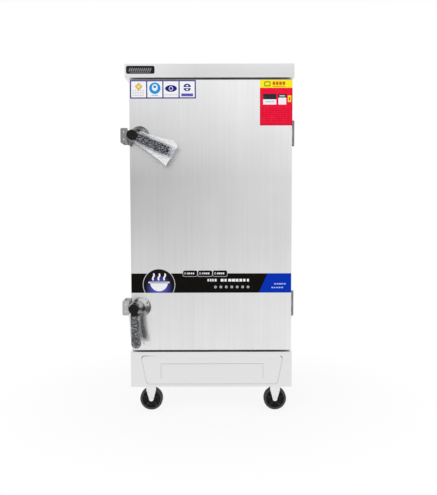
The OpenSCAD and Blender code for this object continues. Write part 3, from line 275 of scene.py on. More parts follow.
def brushed_steel(
    name, tone, axis, roughness=0.33, band=0.10, streak=0.14, shading=None, painted_fold_light=0.25
):
    finish = Finish(name)
    along = finish.stretched(grain_scale(axis, GRAIN))
    fine_along = finish.stretched(grain_scale(axis, FINE_GRAIN))
    bands = finish.noise(along, BAND_SCALE, 2, 0.55)
    painted_sheen = finish.noise(finish.place, PAINTED_SHEEN_SCALE, 2, 0.5)
    streaks = finish.noise(along, STREAK_SCALE, 3, 0.6)
    scratches = finish.noise(fine_along, SCRATCH_SCALE, 2, 0.6)
    smudges = finish.noise(finish.place, SMUDGE_SCALE, 4, 0.6)
    smudge_mask = finish.ramp(smudges, (0.50, 0.0), (0.72, 1.0))
    shade = (1 - band / 2 - streak / 2) + bands * band + streaks * streak + scratches * 0.04 - 0.06
    # painted reflection: a slow sheen over the whole sheet
    shade = shade + painted_sheen * 0.10
    if shading:
        shade = shade * shading(finish)
    # painted light and painted shade on folds, from the attribute fold
    shade = shade * (finish.attribute("fold") * painted_fold_light + 1)
    finish.set(
        Base_Color=finish.dimmed(tone, shade),
        Roughness=roughness - 0.05 + streaks * 0.10 + smudge_mask * 0.05,
        Normal=finish.bump(scratches, SCRATCH_DEPTH, 0.5),
        Metallic=1.0,
    )
    return finish.material


# %% [markdown]
# ## Painted reflections on the door and the cap
# Sheet metal is never evenly bright, because what it reflects drifts slowly over a large part.
# Lamps close to the metal could do that, but they would change every other part too. So the tone
# is painted: a ramp over the part's own height or width changes that part alone. The door is
# bright at its top and foot, dull at mid height and darker to the left, and the cap is brighter
# near its left end and dullest left of its middle.


# %% Slow tones
def door_shading(finish):
    up, across = finish.coordinate(AXES["z"]), finish.coordinate(AXES["x"])
    height = (up - DOOR_LO.z) * (1 / (DOOR_HI.z - DOOR_LO.z))
    side = (across - MIDDLE_X) * (1 / (DOOR_HI.x - MIDDLE_X))
    rise = finish.ramp(
        height, (0.0, 0.81), (0.20, 0.77), (0.46, 0.66), (0.64, 0.63), (0.86, 0.79), (1.0, 0.88)
    )
    lean = finish.ramp(height, (0.05, 0.02), (0.40, 0.06), (0.62, 0.12), (0.85, 0.10), (1.0, 0.05))
    return rise + side * lean


def cap_shading(finish):
    share = (finish.coordinate(AXES["x"]) - CAP_LO.x) * (1 / (CAP_HI.x - CAP_LO.x))
    return finish.ramp(
        share, (0.0, 0.98), (0.20, 1.0), (0.42, 0.90), (0.60, 0.93), (0.80, 0.95), (1.0, 0.97)
    )


DOOR_TONE = (0.95, 0.95, 0.955)
SIDE_TONE = (0.74, 0.74, 0.745)
# The front frame is darkened: painted shade, so the gaps round the door read dark.
FRAME_SHADE_TONE = (0.42, 0.42, 0.425)
CAP_TONE = (0.795, 0.795, 0.80)
BASE_TONE = (0.79, 0.79, 0.795)
steel_door = brushed_steel("steel_door", DOOR_TONE, "z", shading=door_shading)
steel_cap = brushed_steel("steel_cap", CAP_TONE, "x", 0.34, 0.08, shading=cap_shading)
steel_base = brushed_steel("steel_base", SIDE_TONE, "x", 0.36, 0.05)
steel_panel = brushed_steel("steel_panel", BASE_TONE, "x", 0.36, 0.05, painted_fold_light=0.95)
steel_side = brushed_steel("steel_side", SIDE_TONE, "z", 0.36, 0.14, 0.18)
steel_frame_painted_shade = brushed_steel("steel_frame_painted_shade", FRAME_SHADE_TONE, "z", 0.40, 0.08)
print("door tone", DOOR_TONE, "side tone", SIDE_TONE)

# %% [markdown]
# ## Plain rolled sheet inside
# The liner, racks and pipes are mill finish: smoother than the outside, with a cloudy grain, and
# stained a little by steam and hard water. One plain grey would look like paint, so clouds, a weak
# upright grain and small dull spots each move the tone and the roughness a little.

# %% Rolled sheet
CLOUD_SCALE, MILL_GRAIN_SCALE, DROP_SCALE = 12, 260, 60


def rolled_steel(name, tone, roughness):
    finish = Finish(name)
    clouds = finish.noise(finish.place, CLOUD_SCALE, 4, 0.6)
    grain = finish.noise(finish.stretched((1, 1, 0.05)), MILL_GRAIN_SCALE, 3, 0.6)
    drops = finish.noise(finish.place, DROP_SCALE, 2, 0.5)
    stains = finish.ramp(drops, (0.60, 0.0), (0.70, 1.0))
    finish.set(
        Base_Color=finish.dimmed(tone, 0.92 + clouds * 0.10 - stains * 0.05),
        Roughness=roughness + clouds * 0.10 + stains * 0.12,
        Normal=finish.bump(grain, 0.00004, 0.12),
        Metallic=1.0,
    )
    return finish.material


steel_chamber = rolled_steel("steel_chamber", (0.62, 0.62, 0.625), 0.26)
steel_tray = rolled_steel("steel_tray", (0.70, 0.70, 0.71), 0.27)
print("rolled finishes:", steel_chamber.name, steel_tray.name)

# %% [markdown]
# ## Plated and cast metal
# The keepers are die castings under dull chrome, the castor forks are bright zinc with a faint
# spangle, and the hinges, spindles and valves have their own metals. The two keepers are the same
# casting, but the upper one takes a darker copy of its chrome and the lower one a lighter copy:
# painted shade and painted light. They differ only in tone, roughness and spangle, so one function
# makes them all. The spangle is the distance to the nearest cell of a Voronoi pattern, which has
# the look of grown crystals.

# %% Plated metal
SPANGLE_SCALE, PLATING_SCALE = 170, 35
DENT_DEPTH = 0.00008


def plated_metal(name, tone, roughness, spangle):
    finish = Finish(name)
    grid = {"Vector": finish.place, "Scale": SPANGLE_SCALE}
    cells = finish.node("ShaderNodeTexVoronoi", {}, grid, "Distance")
    clouds = finish.noise(finish.place, PLATING_SCALE, 3, 0.6)
    finish.set(
        Base_Color=finish.dimmed(tone, 0.94 + clouds * 0.08 - cells * spangle),
        Roughness=roughness + clouds * 0.10,
        Normal=finish.bump(clouds, DENT_DEPTH, 0.3),
        Metallic=1.0,
    )
    return finish.material


keeper_chrome_shaded_copy = plated_metal("keeper_chrome_shaded_copy", (0.26, 0.26, 0.27), 0.20, 0.015)
keeper_chrome_lit_copy = plated_metal("keeper_chrome_lit_copy", (0.46, 0.46, 0.47), 0.20, 0.015)
zinc_plate = plated_metal("zinc_plate", (0.88, 0.88, 0.89), 0.30, 0.05)
hinge_steel = plated_metal("hinge_steel", (0.26, 0.26, 0.27), 0.30, 0.04)
dark_steel = plated_metal("dark_steel", (0.20, 0.20, 0.21), 0.35, 0.04)
brass_metal = plated_metal("brass_metal", (0.75, 0.55, 0.22), 0.25, 0.03)
# painted shade on the upper keeper and painted light on the lower: two tones of one chrome
KEEPER_CHROME = {"upper": keeper_chrome_shaded_copy, "lower": keeper_chrome_lit_copy}
print("plated finishes: two chromes, zinc, hinge steel, dark steel, brass")

# %% [markdown]
# ## Latch housings polished on a wheel
# The round latch housings are polished while they turn, so light and dark sectors of reflection go
# round them. An anisotropic shader makes such sectors from the lamps, but soft light washes them
# out, so here they are painted reflections in the colour. Vector maths gives the cosine of the angle
# round the hub from the brightest direction, and a ramp turns it into the painted tones.

# %% Spun chrome
HUB_X = -328.0
LATCH_Z = {"upper": 1205.0, "lower": 472.0}
CHROME_TONE = (0.86, 0.86, 0.87)
POLISH_SCALE = 60


def spun_chrome_painted_sectors(side, bright, *painted_sectors):
    """Chrome with painted reflection sectors round a hub, brightest in one direction; the stops give
    their tones.
    """
    finish = Finish("chrome_" + side)
    hub = Vector((from_middle(HUB_X), 0, LATCH_Z[side] * MM))
    arm = finish.vector("SUBTRACT", finish.place, hub)
    way = finish.vector("NORMALIZE", finish.vector("MULTIPLY", arm, (1, 0, 1)))
    aim = (math.cos(math.radians(bright)), 0, math.sin(math.radians(bright)))
    lit = finish.vector("DOT_PRODUCT", way, aim, out=1)
    clouds = finish.noise(finish.place, POLISH_SCALE, 3, 0.6)
    shade = finish.ramp(lit * 0.5 + clouds * 0.06 + 0.47, *painted_sectors)
    finish.set(
        Base_Color=finish.dimmed(CHROME_TONE, shade),
        Roughness=0.16 + clouds * 0.12,
        Normal=finish.bump(clouds, DENT_DEPTH, 0.3),
        Metallic=1.0,
    )
    return finish.material


LATCH_CHROME = {
    side: spun_chrome_painted_sectors(side, bright, *painted_sectors)
    for side, bright, *painted_sectors in (
        ("upper", 52, (0, 0.30), (0.35, 0.62), (0.62, 0.16), (0.84, 0.12), (0.92, 0.48), (1, 0.14)),
        ("lower", 38, (0, 0.45), (0.45, 0.66), (0.66, 0.5), (0.8, 0.1), (0.9, 0.14), (0.97, 0.72)),
    )
}
print("latch housings:", [chrome.name for chrome in LATCH_CHROME.values()])

# %% [markdown]
# ## Plastics, silicone and ceramic
# Handles and hubs are moulded black plastic with a fine orange peel, and they scuff to a lighter
# grey where hands touch them. The gasket, the float and the vinyl could have materials of their
# own, but they only need other colours, gloss and scuffing, so they all come from one function.

# %% Moulded parts
PEEL_SCALE, WEAR_SCALE = 420, 45
PEEL_DEPTH = 0.00012


def moulded(name, colour, roughness, peel=PEEL_DEPTH, scuff=0.06, shine=0.5):
    finish = Finish(name)
    grain = finish.noise(finish.place, PEEL_SCALE, 3, 0.6)
    wear = finish.ramp(finish.noise(finish.place, WEAR_SCALE, 4, 0.65), (0.52, 0.0), (0.75, 1.0))
    worn = tuple(min(1.0, c + scuff) for c in colour)
    finish.set(
        Base_Color=finish.mix(wear, colour, worn),
        Roughness=roughness + wear * 0.18,
        Normal=finish.bump(grain, peel, 0.5),
        Specular_IOR_Level=shine,
    )
    return finish.material


black_plastic = moulded("black_plastic", (0.006, 0.006, 0.007), 0.28, scuff=0.012, shine=0.13)
seal_silicone = moulded("seal_silicone", (0.72, 0.72, 0.69), 0.45, scuff=0.03)
ceramic = moulded("ceramic", (0.80, 0.77, 0.70), 0.55, scuff=0.05)
float_plastic = moulded("float_plastic", (0.75, 0.16, 0.06), 0.35, scuff=0.05)
red_vinyl = moulded("red_vinyl", (0.60, 0.03, 0.03), 0.30, scuff=0.06)
print("moulded finishes: plastic, silicone, ceramic, float, vinyl grip")

# %% [markdown]
# ## Wheel rubber and mineral wool
# A wheel's raised spokes are painted lighter as a highlight, its sunk web stays black, and wear
# scuffs it a little all over. Painting that by hand would need a layout of the surface, so the
# colour follows an attribute that says how far a point stands out.
# The wool in the walls is tufted, with a noise that sets its colour and its height together.

# %% Rubber and wool
SCUFF_SCALE, TUFT_SCALE = 60, 160


def wheel_rubber_finish(name):
    finish = Finish(name)
    grain = finish.noise(finish.place, PEEL_SCALE, 3, 0.6)
    wear = finish.ramp(finish.noise(finish.place, SCUFF_SCALE, 4, 0.65), (0.50, 0.0), (0.75, 1.0))
    # painted highlight on the spokes; the tyre face and the web stay black
    painted_spoke_highlight = finish.ramp(
        finish.attribute("relief"), (0.60, 0.02), (0.80, 0.30), (0.88, 1.0), (0.96, 0.08)
    )
    finish.set(
        Base_Color=finish.mix(painted_spoke_highlight + wear * 0.25, (0.004, 0.004, 0.0045), (0.085, 0.085, 0.09)),
        Roughness=0.42 + wear * 0.18,
        Normal=finish.bump(grain, PEEL_DEPTH, 0.5),
        Specular_IOR_Level=0.12,
    )
    return finish.material


def fibre_wool(name):
    finish = Finish(name)
    tufts = finish.noise(finish.place, TUFT_SCALE, 5, 0.75)
    finish.set(
        Base_Color=finish.mix(tufts, (0.45, 0.36, 0.16), (0.80, 0.70, 0.42)),
        Roughness=0.9,
        Normal=finish.bump(tufts, 0.002),
    )
    return finish.material


wheel_rubber = wheel_rubber_finish("wheel_rubber")
mineral_wool = fibre_wool("mineral_wool")
print("wheels:", wheel_rubber.name, "walls:", mineral_wool.name)

# %% [markdown]
# ## A finish for every carried-over part
# A part whose shape is right keeps its mesh and only takes a finish. Parts that come in pairs or
# fours share one, so they are looked up by their name without the words that tell them apart.
# Parts that are remade below are left out of sight by the pieces that stand for them.

# %% Assign finishes to the parts
CORNERS = ("front_left", "front_right", "rear_left", "rear_right")
FINISH_OF = {}
for finish, parts in (
    (steel_door, "door_outer_skin"),
    (steel_cap, "top_cap"),
    (steel_panel, "base_front_panel"),
    (steel_base, "base_frame"),
    (steel_frame_painted_shade, "front_frame"),
    (steel_tray, "steam_trays"),
    (steel_chamber, "cabinet_liner door_inner_skin tray_rack_left tray_rack_right steam_plate"),
    (steel_chamber, "heating_element feed_pipe drain_pipe steam_vent"),
    (mineral_wool, "cabinet_insulation door_insulation"),
    (seal_silicone, "door_gasket"),
    (ceramic, "terminal_block"),
    (brass_metal, "float_valve drain_valve"),
    (float_plastic, "float_arm"),
    (red_vinyl, "drain_lever"),
    (hinge_steel, "hinge_frame_leaf hinge_door_leaf"),
    (dark_steel, "spindle"),
    (black_plastic, "lever cable_gland"),
    (wheel_rubber, "wheel"),
    (zinc_plate, "axle castor_fork castor_plate fork brake"),
):
    FINISH_OF.update((part, finish) for part in parts.split())
for side in LATCH_Z:
    FINISH_OF[side + "_latch_housing"] = LATCH_CHROME[side]
    FINISH_OF[side + "_keeper"] = KEEPER_CHROME[side]


def finish_of(name):
    """The finish of a part; one that isn't listed is plain outside sheet."""
    kind = name
    for place in (*LATCH_Z, *CORNERS):
        kind = kind.removeprefix(place + "_")
    return FINISH_OF.get(name, FINISH_OF.get(kind, steel_side))


for name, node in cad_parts.items():
    node.data.materials.clear()
    node.data.materials.append(finish_of(name))
print("parts finished:", len(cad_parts))

# %% [markdown]
# ## Tools for new pieces
# A new piece starts as a bmesh, is shaped by operators and becomes an object at the origin that
# rides on one body, with its place in its mesh. It could be placed by moving the object, but then
# a pattern on Object coordinates would move with it. Places are given in millimetres: across from
# the cabinet's middle, back from the door's face and up from the floor.


# %% Piece helpers
def new_piece(name, bm, finishes, body, sharp=35):
    """Turns a bmesh into a shaded piece that rides on a body."""
    bmesh.ops.recalc_face_normals(bm, faces=bm.faces)
    mesh = bpy.data.meshes.new(name)
    bm.to_mesh(mesh)
    bm.free()
    for finish in finishes:
        mesh.materials.append(finish)
    mesh.shade_smooth()
    mesh.set_sharp_from_angle(angle=math.radians(sharp))
    piece = bpy.data.objects.new(name, mesh)
    bpy.context.collection.objects.link(piece)
    print(name, len(mesh.polygons), "faces")
    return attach(piece, body)


def spot(x, y, z):
    """A point in metres from millimetres off the middle, the door face and the floor."""
    return Vector((from_middle(x), DOOR_FACE + y * MM, z * MM))


def paint(faces, number):
    for face in faces:
        face.material_index = number


def faces_of(verts):
    return {face for vert in verts for face in vert.link_faces}


# %% [markdown]
# ## Tools for shaping
# A corner without a radius never catches the light, so corners are softened by one bevel. Discs,
# screw heads and bolt heads are all one cone operator, and what an operator gives back is a mix of
# points, edges and faces that has to be sorted.


# %% Shaping helpers
def only(kind, items):
    """The vertices or the edges among what an operator gives back."""
    return [item for item in items if isinstance(item, kind)]


def soften(bm, edges, width, segments, clamp=False):
    """Bevels edges by a width in millimetres and gives back the new faces."""
    return bmesh.ops.bevel(
        bm,
        geom=edges,
        offset=width * MM,
        affect="EDGES",
        segments=segments,
        profile=0.5,
        material=-1,
        clamp_overlap=clamp,
    )["faces"]


def drum(bm, sides, radius, top, height, matrix):
    """A closed cone or prism that stands along Z before the matrix turns and moves it."""
    return bmesh.ops.create_cone(
        bm,
        cap_ends=True,
        segments=sides,
        radius1=radius * MM,
        radius2=top * MM,
        depth=height * MM,
        matrix=matrix,
    )["verts"]


# %% [markdown]
# ## A block and a disc
# Plates and prints are built from two closed solids that face the front: a block, whose corners can
# be rounded, and a disc, which can be squeezed to an oval or have only four sides. A print could be
# an image on one face, but solids keep their edges sharp from near by.

# %% Block and disc
CORNER_STEPS = 5


def block(bm, x, y, z, ink=0, corner=0.0):
    """A block between pairs of limits, with its corners seen from the front rounded."""
    lo, hi = spot(x[0], y[0], z[0]), spot(x[1], y[1], z[1])
    grow = Matrix.LocRotScale((lo + hi) / 2, None, hi - lo)
    verts = bmesh.ops.create_cube(bm, size=1, matrix=grow)["verts"]
    paint(faces_of(verts), ink)
    if corner:
        through = [
            e
            for e in {e for v in verts for e in v.link_edges}
            if abs(e.verts[0].co.y - e.verts[1].co.y) > 0.9 * abs(hi.y - lo.y)
        ]
        soften(bm, through, corner, CORNER_STEPS)


def disc(bm, x, y, z, radius, ink=0, sides=48, flat=1.0):
    """A flat round plate that faces the front; flat squeezes its height."""
    middle = spot(x, (y[0] + y[1]) / 2, z)
    shape = (
        Matrix.Translation(middle)
        @ Matrix.Diagonal((1, 1, flat, 1))
        @ Matrix.Rotation(math.pi / 2, 4, "X")
    )
    verts = drum(bm, sides, radius, radius, abs(y[1] - y[0]), shape)
    paint(faces_of(verts), ink)
    return verts


# %% [markdown]
# ## Folded sheet edges
# Real sheet metal has a small radius on every fold, and that radius catches the light as a thin
# bright line. The parts come with sharp corners, so a copy is merged, its flat faces are joined
# again, and the outer folds are bevelled. A Bevel modifier would round inner edges as well, so the
# edges are chosen in code. The new faces and the walls of pressings are given painted light where
# they face up and painted shade where they face aside or down. The copy then stands for the part.

# %% Rounded folds
MERGE_DISTANCE = 0.00002
FLAT_ANGLE, FOLD_ANGLE = math.radians(0.5), math.radians(25)
PAINTED_UP_LIGHT, PAINTED_SIDE_SHADE, PAINTED_SLOPE_SHADE = 0.35, 0.25, 3.2
RIM_WIDTH = 0.008


def pressed(face, lo, hi):
    """True for the wall of a pressing: a face that does not look to the front or the back."""
    middle = face.calc_center_median()
    inside = all(lo[i] + RIM_WIDTH < middle[i] < hi[i] - RIM_WIDTH for i in (0, 2))
    return inside and abs(face.normal.y) < 0.9


def any_fold(edge, lo, hi):
    return True


def rounded_copy(
    node,
    radius,
    body,
    chosen=any_fold,
    segments=2,
    sharp=35,
    both_ways=False,
):
    """Replaces a part by a copy whose chosen edges are rounded."""
    lo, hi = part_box(node)
    bm = bmesh.new()
    bm.from_mesh(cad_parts[node].data)
    light = bm.faces.layers.float.new("fold")
    bmesh.ops.remove_doubles(bm, verts=bm.verts, dist=MERGE_DISTANCE)
    bmesh.ops.dissolve_limit(bm, angle_limit=FLAT_ANGLE, verts=bm.verts, edges=bm.edges)
    folds = [
        e
        for e in bm.edges
        if len(e.link_faces) == 2
        and e.calc_face_angle(0) > FOLD_ANGLE
        and (e.is_convex or both_ways)
        and chosen(e, lo, hi)
    ]
    fresh = soften(bm, folds, radius, segments, True)
    bm.normal_update()
    # painted light on faces that look up, painted shade on faces that look aside or down
    for face in fresh + [f for f in bm.faces if pressed(f, lo, hi)]:
        aside, up = abs(face.normal.x), face.normal.z
        face[light] = up * PAINTED_UP_LIGHT - aside * PAINTED_SIDE_SHADE - aside * max(0.0, up) * PAINTED_SLOPE_SHADE
    piece = new_piece(node + "_dressed", bm, [finish_of(node)], body, sharp)
    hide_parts(node)
    print(node, "folds rounded:", len(folds))
    return piece


# %% [markdown]
# ## Folds of the large sheets
# The door skin is folded back round its four sides, so only the edges at its front face are round.
# The cap, the shell and the boxes are rounded on their outer edges, and their inner ones stay cut
# sharp. The base panel is pressed, so its hollow edges are round too. A test for each kind picks
# the edges by where their ends lie, which is simpler than a list of edge numbers and outlives it.

# %% Folds outside
CLOSE = 0.0004


def near(value, target):
    return abs(value - target) < CLOSE


def front_fold(edge, lo, hi):
    return any(near(v.co.y, lo.y) for v in edge.verts)


def outer_fold(edge, lo, hi):
    """True where both ends lie on an edge of the outer box of the part."""
    return all(
        sum(near(v.co[i], lo[i]) or near(v.co[i], hi[i]) for i in range(3)) >= 2
        for v in edge.verts
    )


rounded_copy("door_outer_skin", 1.4, "door", front_fold, segments=3)
rounded_copy("top_cap", 1.6, "cabinet", outer_fold, segments=3)
rounded_copy("base_front_panel", 1.1, "cabinet", sharp=9, both_ways=True)
for part, radius in (
    ("cabinet_shell", 0.5),
    ("terminal_cover", 1.2),
    ("terminal_box", 0.8),
    ("float_box", 0.8),
    ("float_box_lid", 1.2),
):
    rounded_copy(part, radius, "cabinet", outer_fold, segments=3)

# %% [markdown]
# ## Folds of the small parts
# Keepers, hinge leaves, castor forks and brake pedals are pressed from thicker strip, with a small
# radius on every edge. Joined into one piece they would need less code, but the moving ones ride on
# their own joint, so each stays a piece with its own body.

# %% Folds of small parts
for side in LATCH_Z:
    rounded_copy(side + "_keeper", 0.5, "cabinet")
    rounded_copy(side + "_hinge_frame_leaf", 0.3, "cabinet")
    rounded_copy(side + "_hinge_door_leaf", 0.3, "door")
for side in ("left", "right"):
    rear = "rear_" + side
    for part, radius, body in (
        ("front_" + side + "_castor_fork", 0.4, "cabinet"),
        (rear + "_castor_plate", 0.4, "cabinet"),
        (rear + "_fork", 0.4, rear + "_swivel"),
        (rear + "_brake", 0.5, rear + "_brake_lever"),
    ):
        rounded_copy(part, radius, body)
rounded_copy("drain_lever", 0.3, "drain_handle")
rounded_copy("door_inner_skin", 0.6, "door")
rounded_copy("front_frame", 0.4, "cabinet")
rounded_copy("base_frame", 0.9, "cabinet", outer_fold)

# %% [markdown]
# ## Wheels
# A wheel is moulded with a sunk web and raised spokes. The spokes are painted lighter as a
# highlight and the web stays black, so how far a point stands out from the middle is kept as an
# attribute. It could be told from its depth in the shader, but the front and rear axles point
# different ways.

# %% Wheel relief
for corner in CORNERS:
    name = corner + "_wheel"
    lo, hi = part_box(name)
    axle = AXES["y"] if corner.startswith("front") else AXES["x"]
    middle, half = (lo + hi) / 2, (hi[axle] - lo[axle]) / 2
    wheel = rounded_copy(name, 0.4, corner + "_roller")
    relief = wheel.data.attributes.new("relief", "FLOAT", "POINT")
    for vert, stand in zip(wheel.data.vertices, relief.data):
        stand.value = abs(vert.co[axle] - middle[axle]) / half
    print(name, "half width", round(half / MM, 1), "mm")

# %% [markdown]
# ## Screws
# Small pan-head screws hold the keepers, the latch roses, the hinge leaves and the covers. One head
# is a disc with a rounded rim and a cross recess. A boolean could cut the cross, but an inset of
# the top face, with its corners pulled towards the middle and pushed in, is lighter and cleaner.

# %% Screw heads
HEAD_SIDES, HEAD_TAPER = 16, 0.94
CROSS_PULL = (0.92, 0.55, 0.24, 0.55)


def stand_on(place, facing):
    """Turns a shape that stands on the origin and moves it onto a face."""
    aim = Vector(facing).to_track_quat("Z", "Y").to_matrix().to_4x4()
    return Matrix.Translation(place) @ aim


def screw_head(bm, place, facing, radius=3.4, height=1.8, turn=20, ink=0):
    """A pan head with a cross recess, on a face whose outside is the facing direction."""
    stand = stand_on(place, facing) @ Matrix.Rotation(math.radians(turn), 4, "Z")
    start = len(bm.verts)
    lift = Matrix.Translation((0, 0, height * MM / 2))
    verts = drum(bm, HEAD_SIDES, radius, radius * HEAD_TAPER, height, stand @ lift)
    up = (stand.to_3x3() @ Vector((0, 0, 1))).normalized()
    top = max(faces_of(verts), key=lambda f: f.calc_center_median().dot(up))
    soften(bm, list(top.edges), height * 0.5, 2)
    bm.verts.ensure_lookup_table()
    fresh = list(bm.verts)[start:]
    paint(faces_of(fresh), ink)
    top = max(faces_of(fresh), key=lambda f: f.calc_center_median().dot(up))
    bmesh.ops.inset_individual(bm, faces=[top], thickness=radius * 0.12 * MM)
    middle = top.calc_center_median()
    for i, vert in enumerate(top.verts):
        vert.co = middle + (vert.co - middle) * CROSS_PULL[i % len(CROSS_PULL)]
    cut = bmesh.ops.extrude_discrete_faces(bm, faces=[top])["faces"]
    bmesh.ops.translate(bm, verts=cut[0].verts, vec=-up * height * 0.45 * MM)


# %% [markdown]
# ## Printed vinyl
# The stickers and the band are thin printed vinyl. Each ink is its own thin layer, a little proud
# of the one below, so edges stay crisp at any size. An image would be quicker, but it blurs from
# near by. The prints carry plain blocks and simple shapes only.

# %% Inks
INK_STEP = 0.06
INK_PEEL = 0.00002


def ink(name, colour, roughness=0.38, scuff=0.012, shine=0.15):
    return moulded("ink_" + name, colour, roughness, INK_PEEL, scuff, shine)


INKS = {
    name: ink(name, *look)
    for name, look in {
        "white": ((0.86, 0.86, 0.88),),
        "navy": ((0.012, 0.012, 0.20), 0.38, 0.012, 0.10),
        "violet": ((0.10, 0.09, 0.40),),
        "sky": ((0.015, 0.27, 0.66),),
        "amber": ((0.72, 0.46, 0.05),),
        "grey": ((0.42, 0.42, 0.44),),
        "black": ((0.0035, 0.0028, 0.0022), 0.26, 0.003, 0.05),
        "coal": ((0.022, 0.022, 0.030), 0.30, 0.02, 0.10),
        "red": ((0.84, 0.004, 0.042), 0.38, 0.012, 0.10),
        "deep_red": ((0.46, 0.004, 0.020),),
        "yellow": ((0.95, 0.80, 0.015),),
        "olive": ((0.20, 0.19, 0.012),),
        "ochre": ((0.55, 0.13, 0.010),),
        "blue": ((0.001, 0.030, 0.43), 0.28, 0.004, 0.05),
        "pale": ((0.60, 0.60, 0.62),),
        "mist": ((0.42, 0.52, 0.86),),
    }.items()
}
print("inks:", len(INKS))

# %% [markdown]
# ## A print in layers
# A print is one piece. Bars and rounds are added to it on numbered layers, and it keeps a list of
# its inks. Small print is a row of dashes of uneven length, so that it looks like words from afar
# but says nothing.


# %% Print
def around(middle, half):
    """The pair of limits at a distance on both sides of a middle."""
    return (middle - half, middle + half)


class Print:
    """A sticker built up layer by layer on the face that looks to the front."""

    def __init__(self, name):
        self.name = name
        self.inks = []
        self.bm = bmesh.new()

    def number(self, ink_name):
        if ink_name not in self.inks:
            self.inks.append(ink_name)
        return self.inks.index(ink_name)

    def depth(self, layer):
        return (-INK_STEP * (layer + 1), 0.05)

    def bar(self, layer, ink_name, x, z, corner=0.0):
        block(self.bm, x, self.depth(layer), z, self.number(ink_name), corner)

    def round(self, layer, ink_name, x, z, radius, flat=1.0, sides=48):
        number = self.number(ink_name)
        return disc(self.bm, x, self.depth(layer), z, radius, number, sides, flat)

    def rows(self, layer, ink_name, x, tops, height, dashes, rng):
        """Rows of short dashes that stand in for small print."""
        width = (x[1] - x[0]) / dashes
        for top in tops:
            edge = x[0]
            for _ in range(dashes):
                dash = (edge, edge + width * rng.uniform(0.55, 0.85))
                self.bar(layer, ink_name, dash, (top - height, top))
                edge += width

    def place(self, body):
        return new_piece(self.name, self.bm, [INKS[n] for n in self.inks], body)


# %% [markdown]
# ## Sticker strip at the top left
# A white strip with four framed cells is stuck on the door. Each cell holds a small coloured shape:
# a diamond, a disc with a pale drop, an oval with a ring, and a ball over a bar, with short grey
# lines below. The frames are the dark sheet that shows between the white cells, as in real print.

# %% Four-cell strip
STRIP_X = (-341.0, -62.0)
STRIP_Z = (1363.0, 1440.0)
CELLS = 4
CELL_LINE = 5.0

strip = Print("four_cell_sticker")
strip.bar(0, "navy", STRIP_X, STRIP_Z, 1.5)
cell_w = (STRIP_X[1] - STRIP_X[0] - CELL_LINE) / CELLS
rng = random.Random(4)
centres = []
for cell in range(CELLS):
    left = STRIP_X[0] + CELL_LINE + cell * cell_w
    right = left + cell_w - CELL_LINE
    strip.bar(1, "white", (left, right), (STRIP_Z[0] + CELL_LINE, STRIP_Z[1] - CELL_LINE))
    centres.append((left + right) / 2)
diamond, drop, eye, ball = centres
strip.round(2, "amber", diamond, 1413, 17, sides=4)
strip.round(3, "white", diamond, 1413, 5, sides=24)
strip.round(4, "amber", diamond, 1413, 2.6, sides=24)
strip.rows(2, "grey", around(diamond, 26), (1398, 1391, 1384, 1377), 2.2, 5, rng)
strip.round(2, "sky", drop, 1406, 24)
strip.round(3, "white", drop, 1409, 12, flat=1.2)
strip.round(4, "sky", drop, 1412, 6)
strip.rows(2, "sky", around(drop, 14), (1378,), 3, 4, rng)
strip.round(2, "navy", eye, 1405, 25, flat=0.56)
strip.round(3, "white", eye, 1405, 9)
strip.round(4, "navy", eye, 1405, 6.5)
strip.rows(2, "grey", around(eye, 28), (1380,), 3, 9, rng)
strip.round(2, "navy", ball, 1409, 16)
strip.bar(3, "white", around(ball, 18), (1406, 1411))
for height in (1417, 1400):
    strip.round(3, "white", ball, height, 5, flat=0.6)
strip.bar(2, "violet", around(ball, 25), (1372, 1384), 1)
strip.place("door")
print("cell width", round(cell_w, 1), "mm")

# %% [markdown]
# ## Red sticker at the top right
# A red sheet has a yellow head, two small panels, a yellow tab and rows of fine lines in a darker
# red, inside a thin border. All of it is bars. They could be added by one call after another, but a
# table of layer, ink, limits across, limits up and corner radius is easier to read and to change.

# %% Red sheet
RED_X = (209.5, 347.5)
RED_Z = (1249.0, 1440.5)
HEAD_Z = 1407.0
WORD_STEP, WORD_WIDTH = 14, 11
LINE_STEP = 8.6

sheet = Print("red_sticker")
for layer, tint, x, z, corner in (
    (0, "deep_red", RED_X, RED_Z, 1.5),
    (1, "red", (RED_X[0] + 2.5, RED_X[1] - 2.5), (RED_Z[0] + 3, RED_Z[1] - 2), 0),
    (2, "yellow", RED_X, (HEAD_Z, RED_Z[1]), 1.0),
    (3, "olive", (228, 254), (1413, 1434), 4),
    (4, "yellow", (231.5, 250.5), (1417, 1430), 2),
    *(
        (3, "ochre", (left, left + WORD_WIDTH), (1419, 1433), 1.5)
        for left in range(263, 263 + 4 * WORD_STEP, WORD_STEP)
    ),
    (3, "ochre", (263, 317), (1412, 1414.5), 0),
    (2, "coal", (223, 279), (1359, 1382), 0),
    (2, "white", (223, 279), (1337, 1359), 0),
    (3, "pale", (233, 269), (1346, 1352), 0),
    (2, "coal", (286, 323), (1364, 1381), 3),
    (3, "white", (288, 321), (1337, 1366), 3),
    (3, "pale", (292, 316), (1371, 1376), 0),
    (3, "yellow", (328, 342), (1348, 1375), 1),
    (4, "ochre", (331.5, 338.5), (1354, 1368), 1),
):
    sheet.bar(layer, tint, x, z, corner)
rng = random.Random(7)
lines = [1322 - LINE_STEP * i for i in range(7)]
sheet.rows(2, "deep_red", (219, 338), lines, 2.5, 9, rng)
for x in ((214, 215.2), (341.8, 343)):
    sheet.bar(2, "deep_red", x, (1256, 1326))
sheet.bar(2, "deep_red", (214, 343), (1256, 1257.2))
sheet.place("door")

# %% [markdown]
# ## Printed band
# A black band runs across the door, with a blue end cut at a slant, three outlined tabs, a row of
# small keys and dashes for words. The slant is a block whose upper left corner is moved to the
# right. The blue end is a piece of its own, because it is a second strip of vinyl stuck on top.

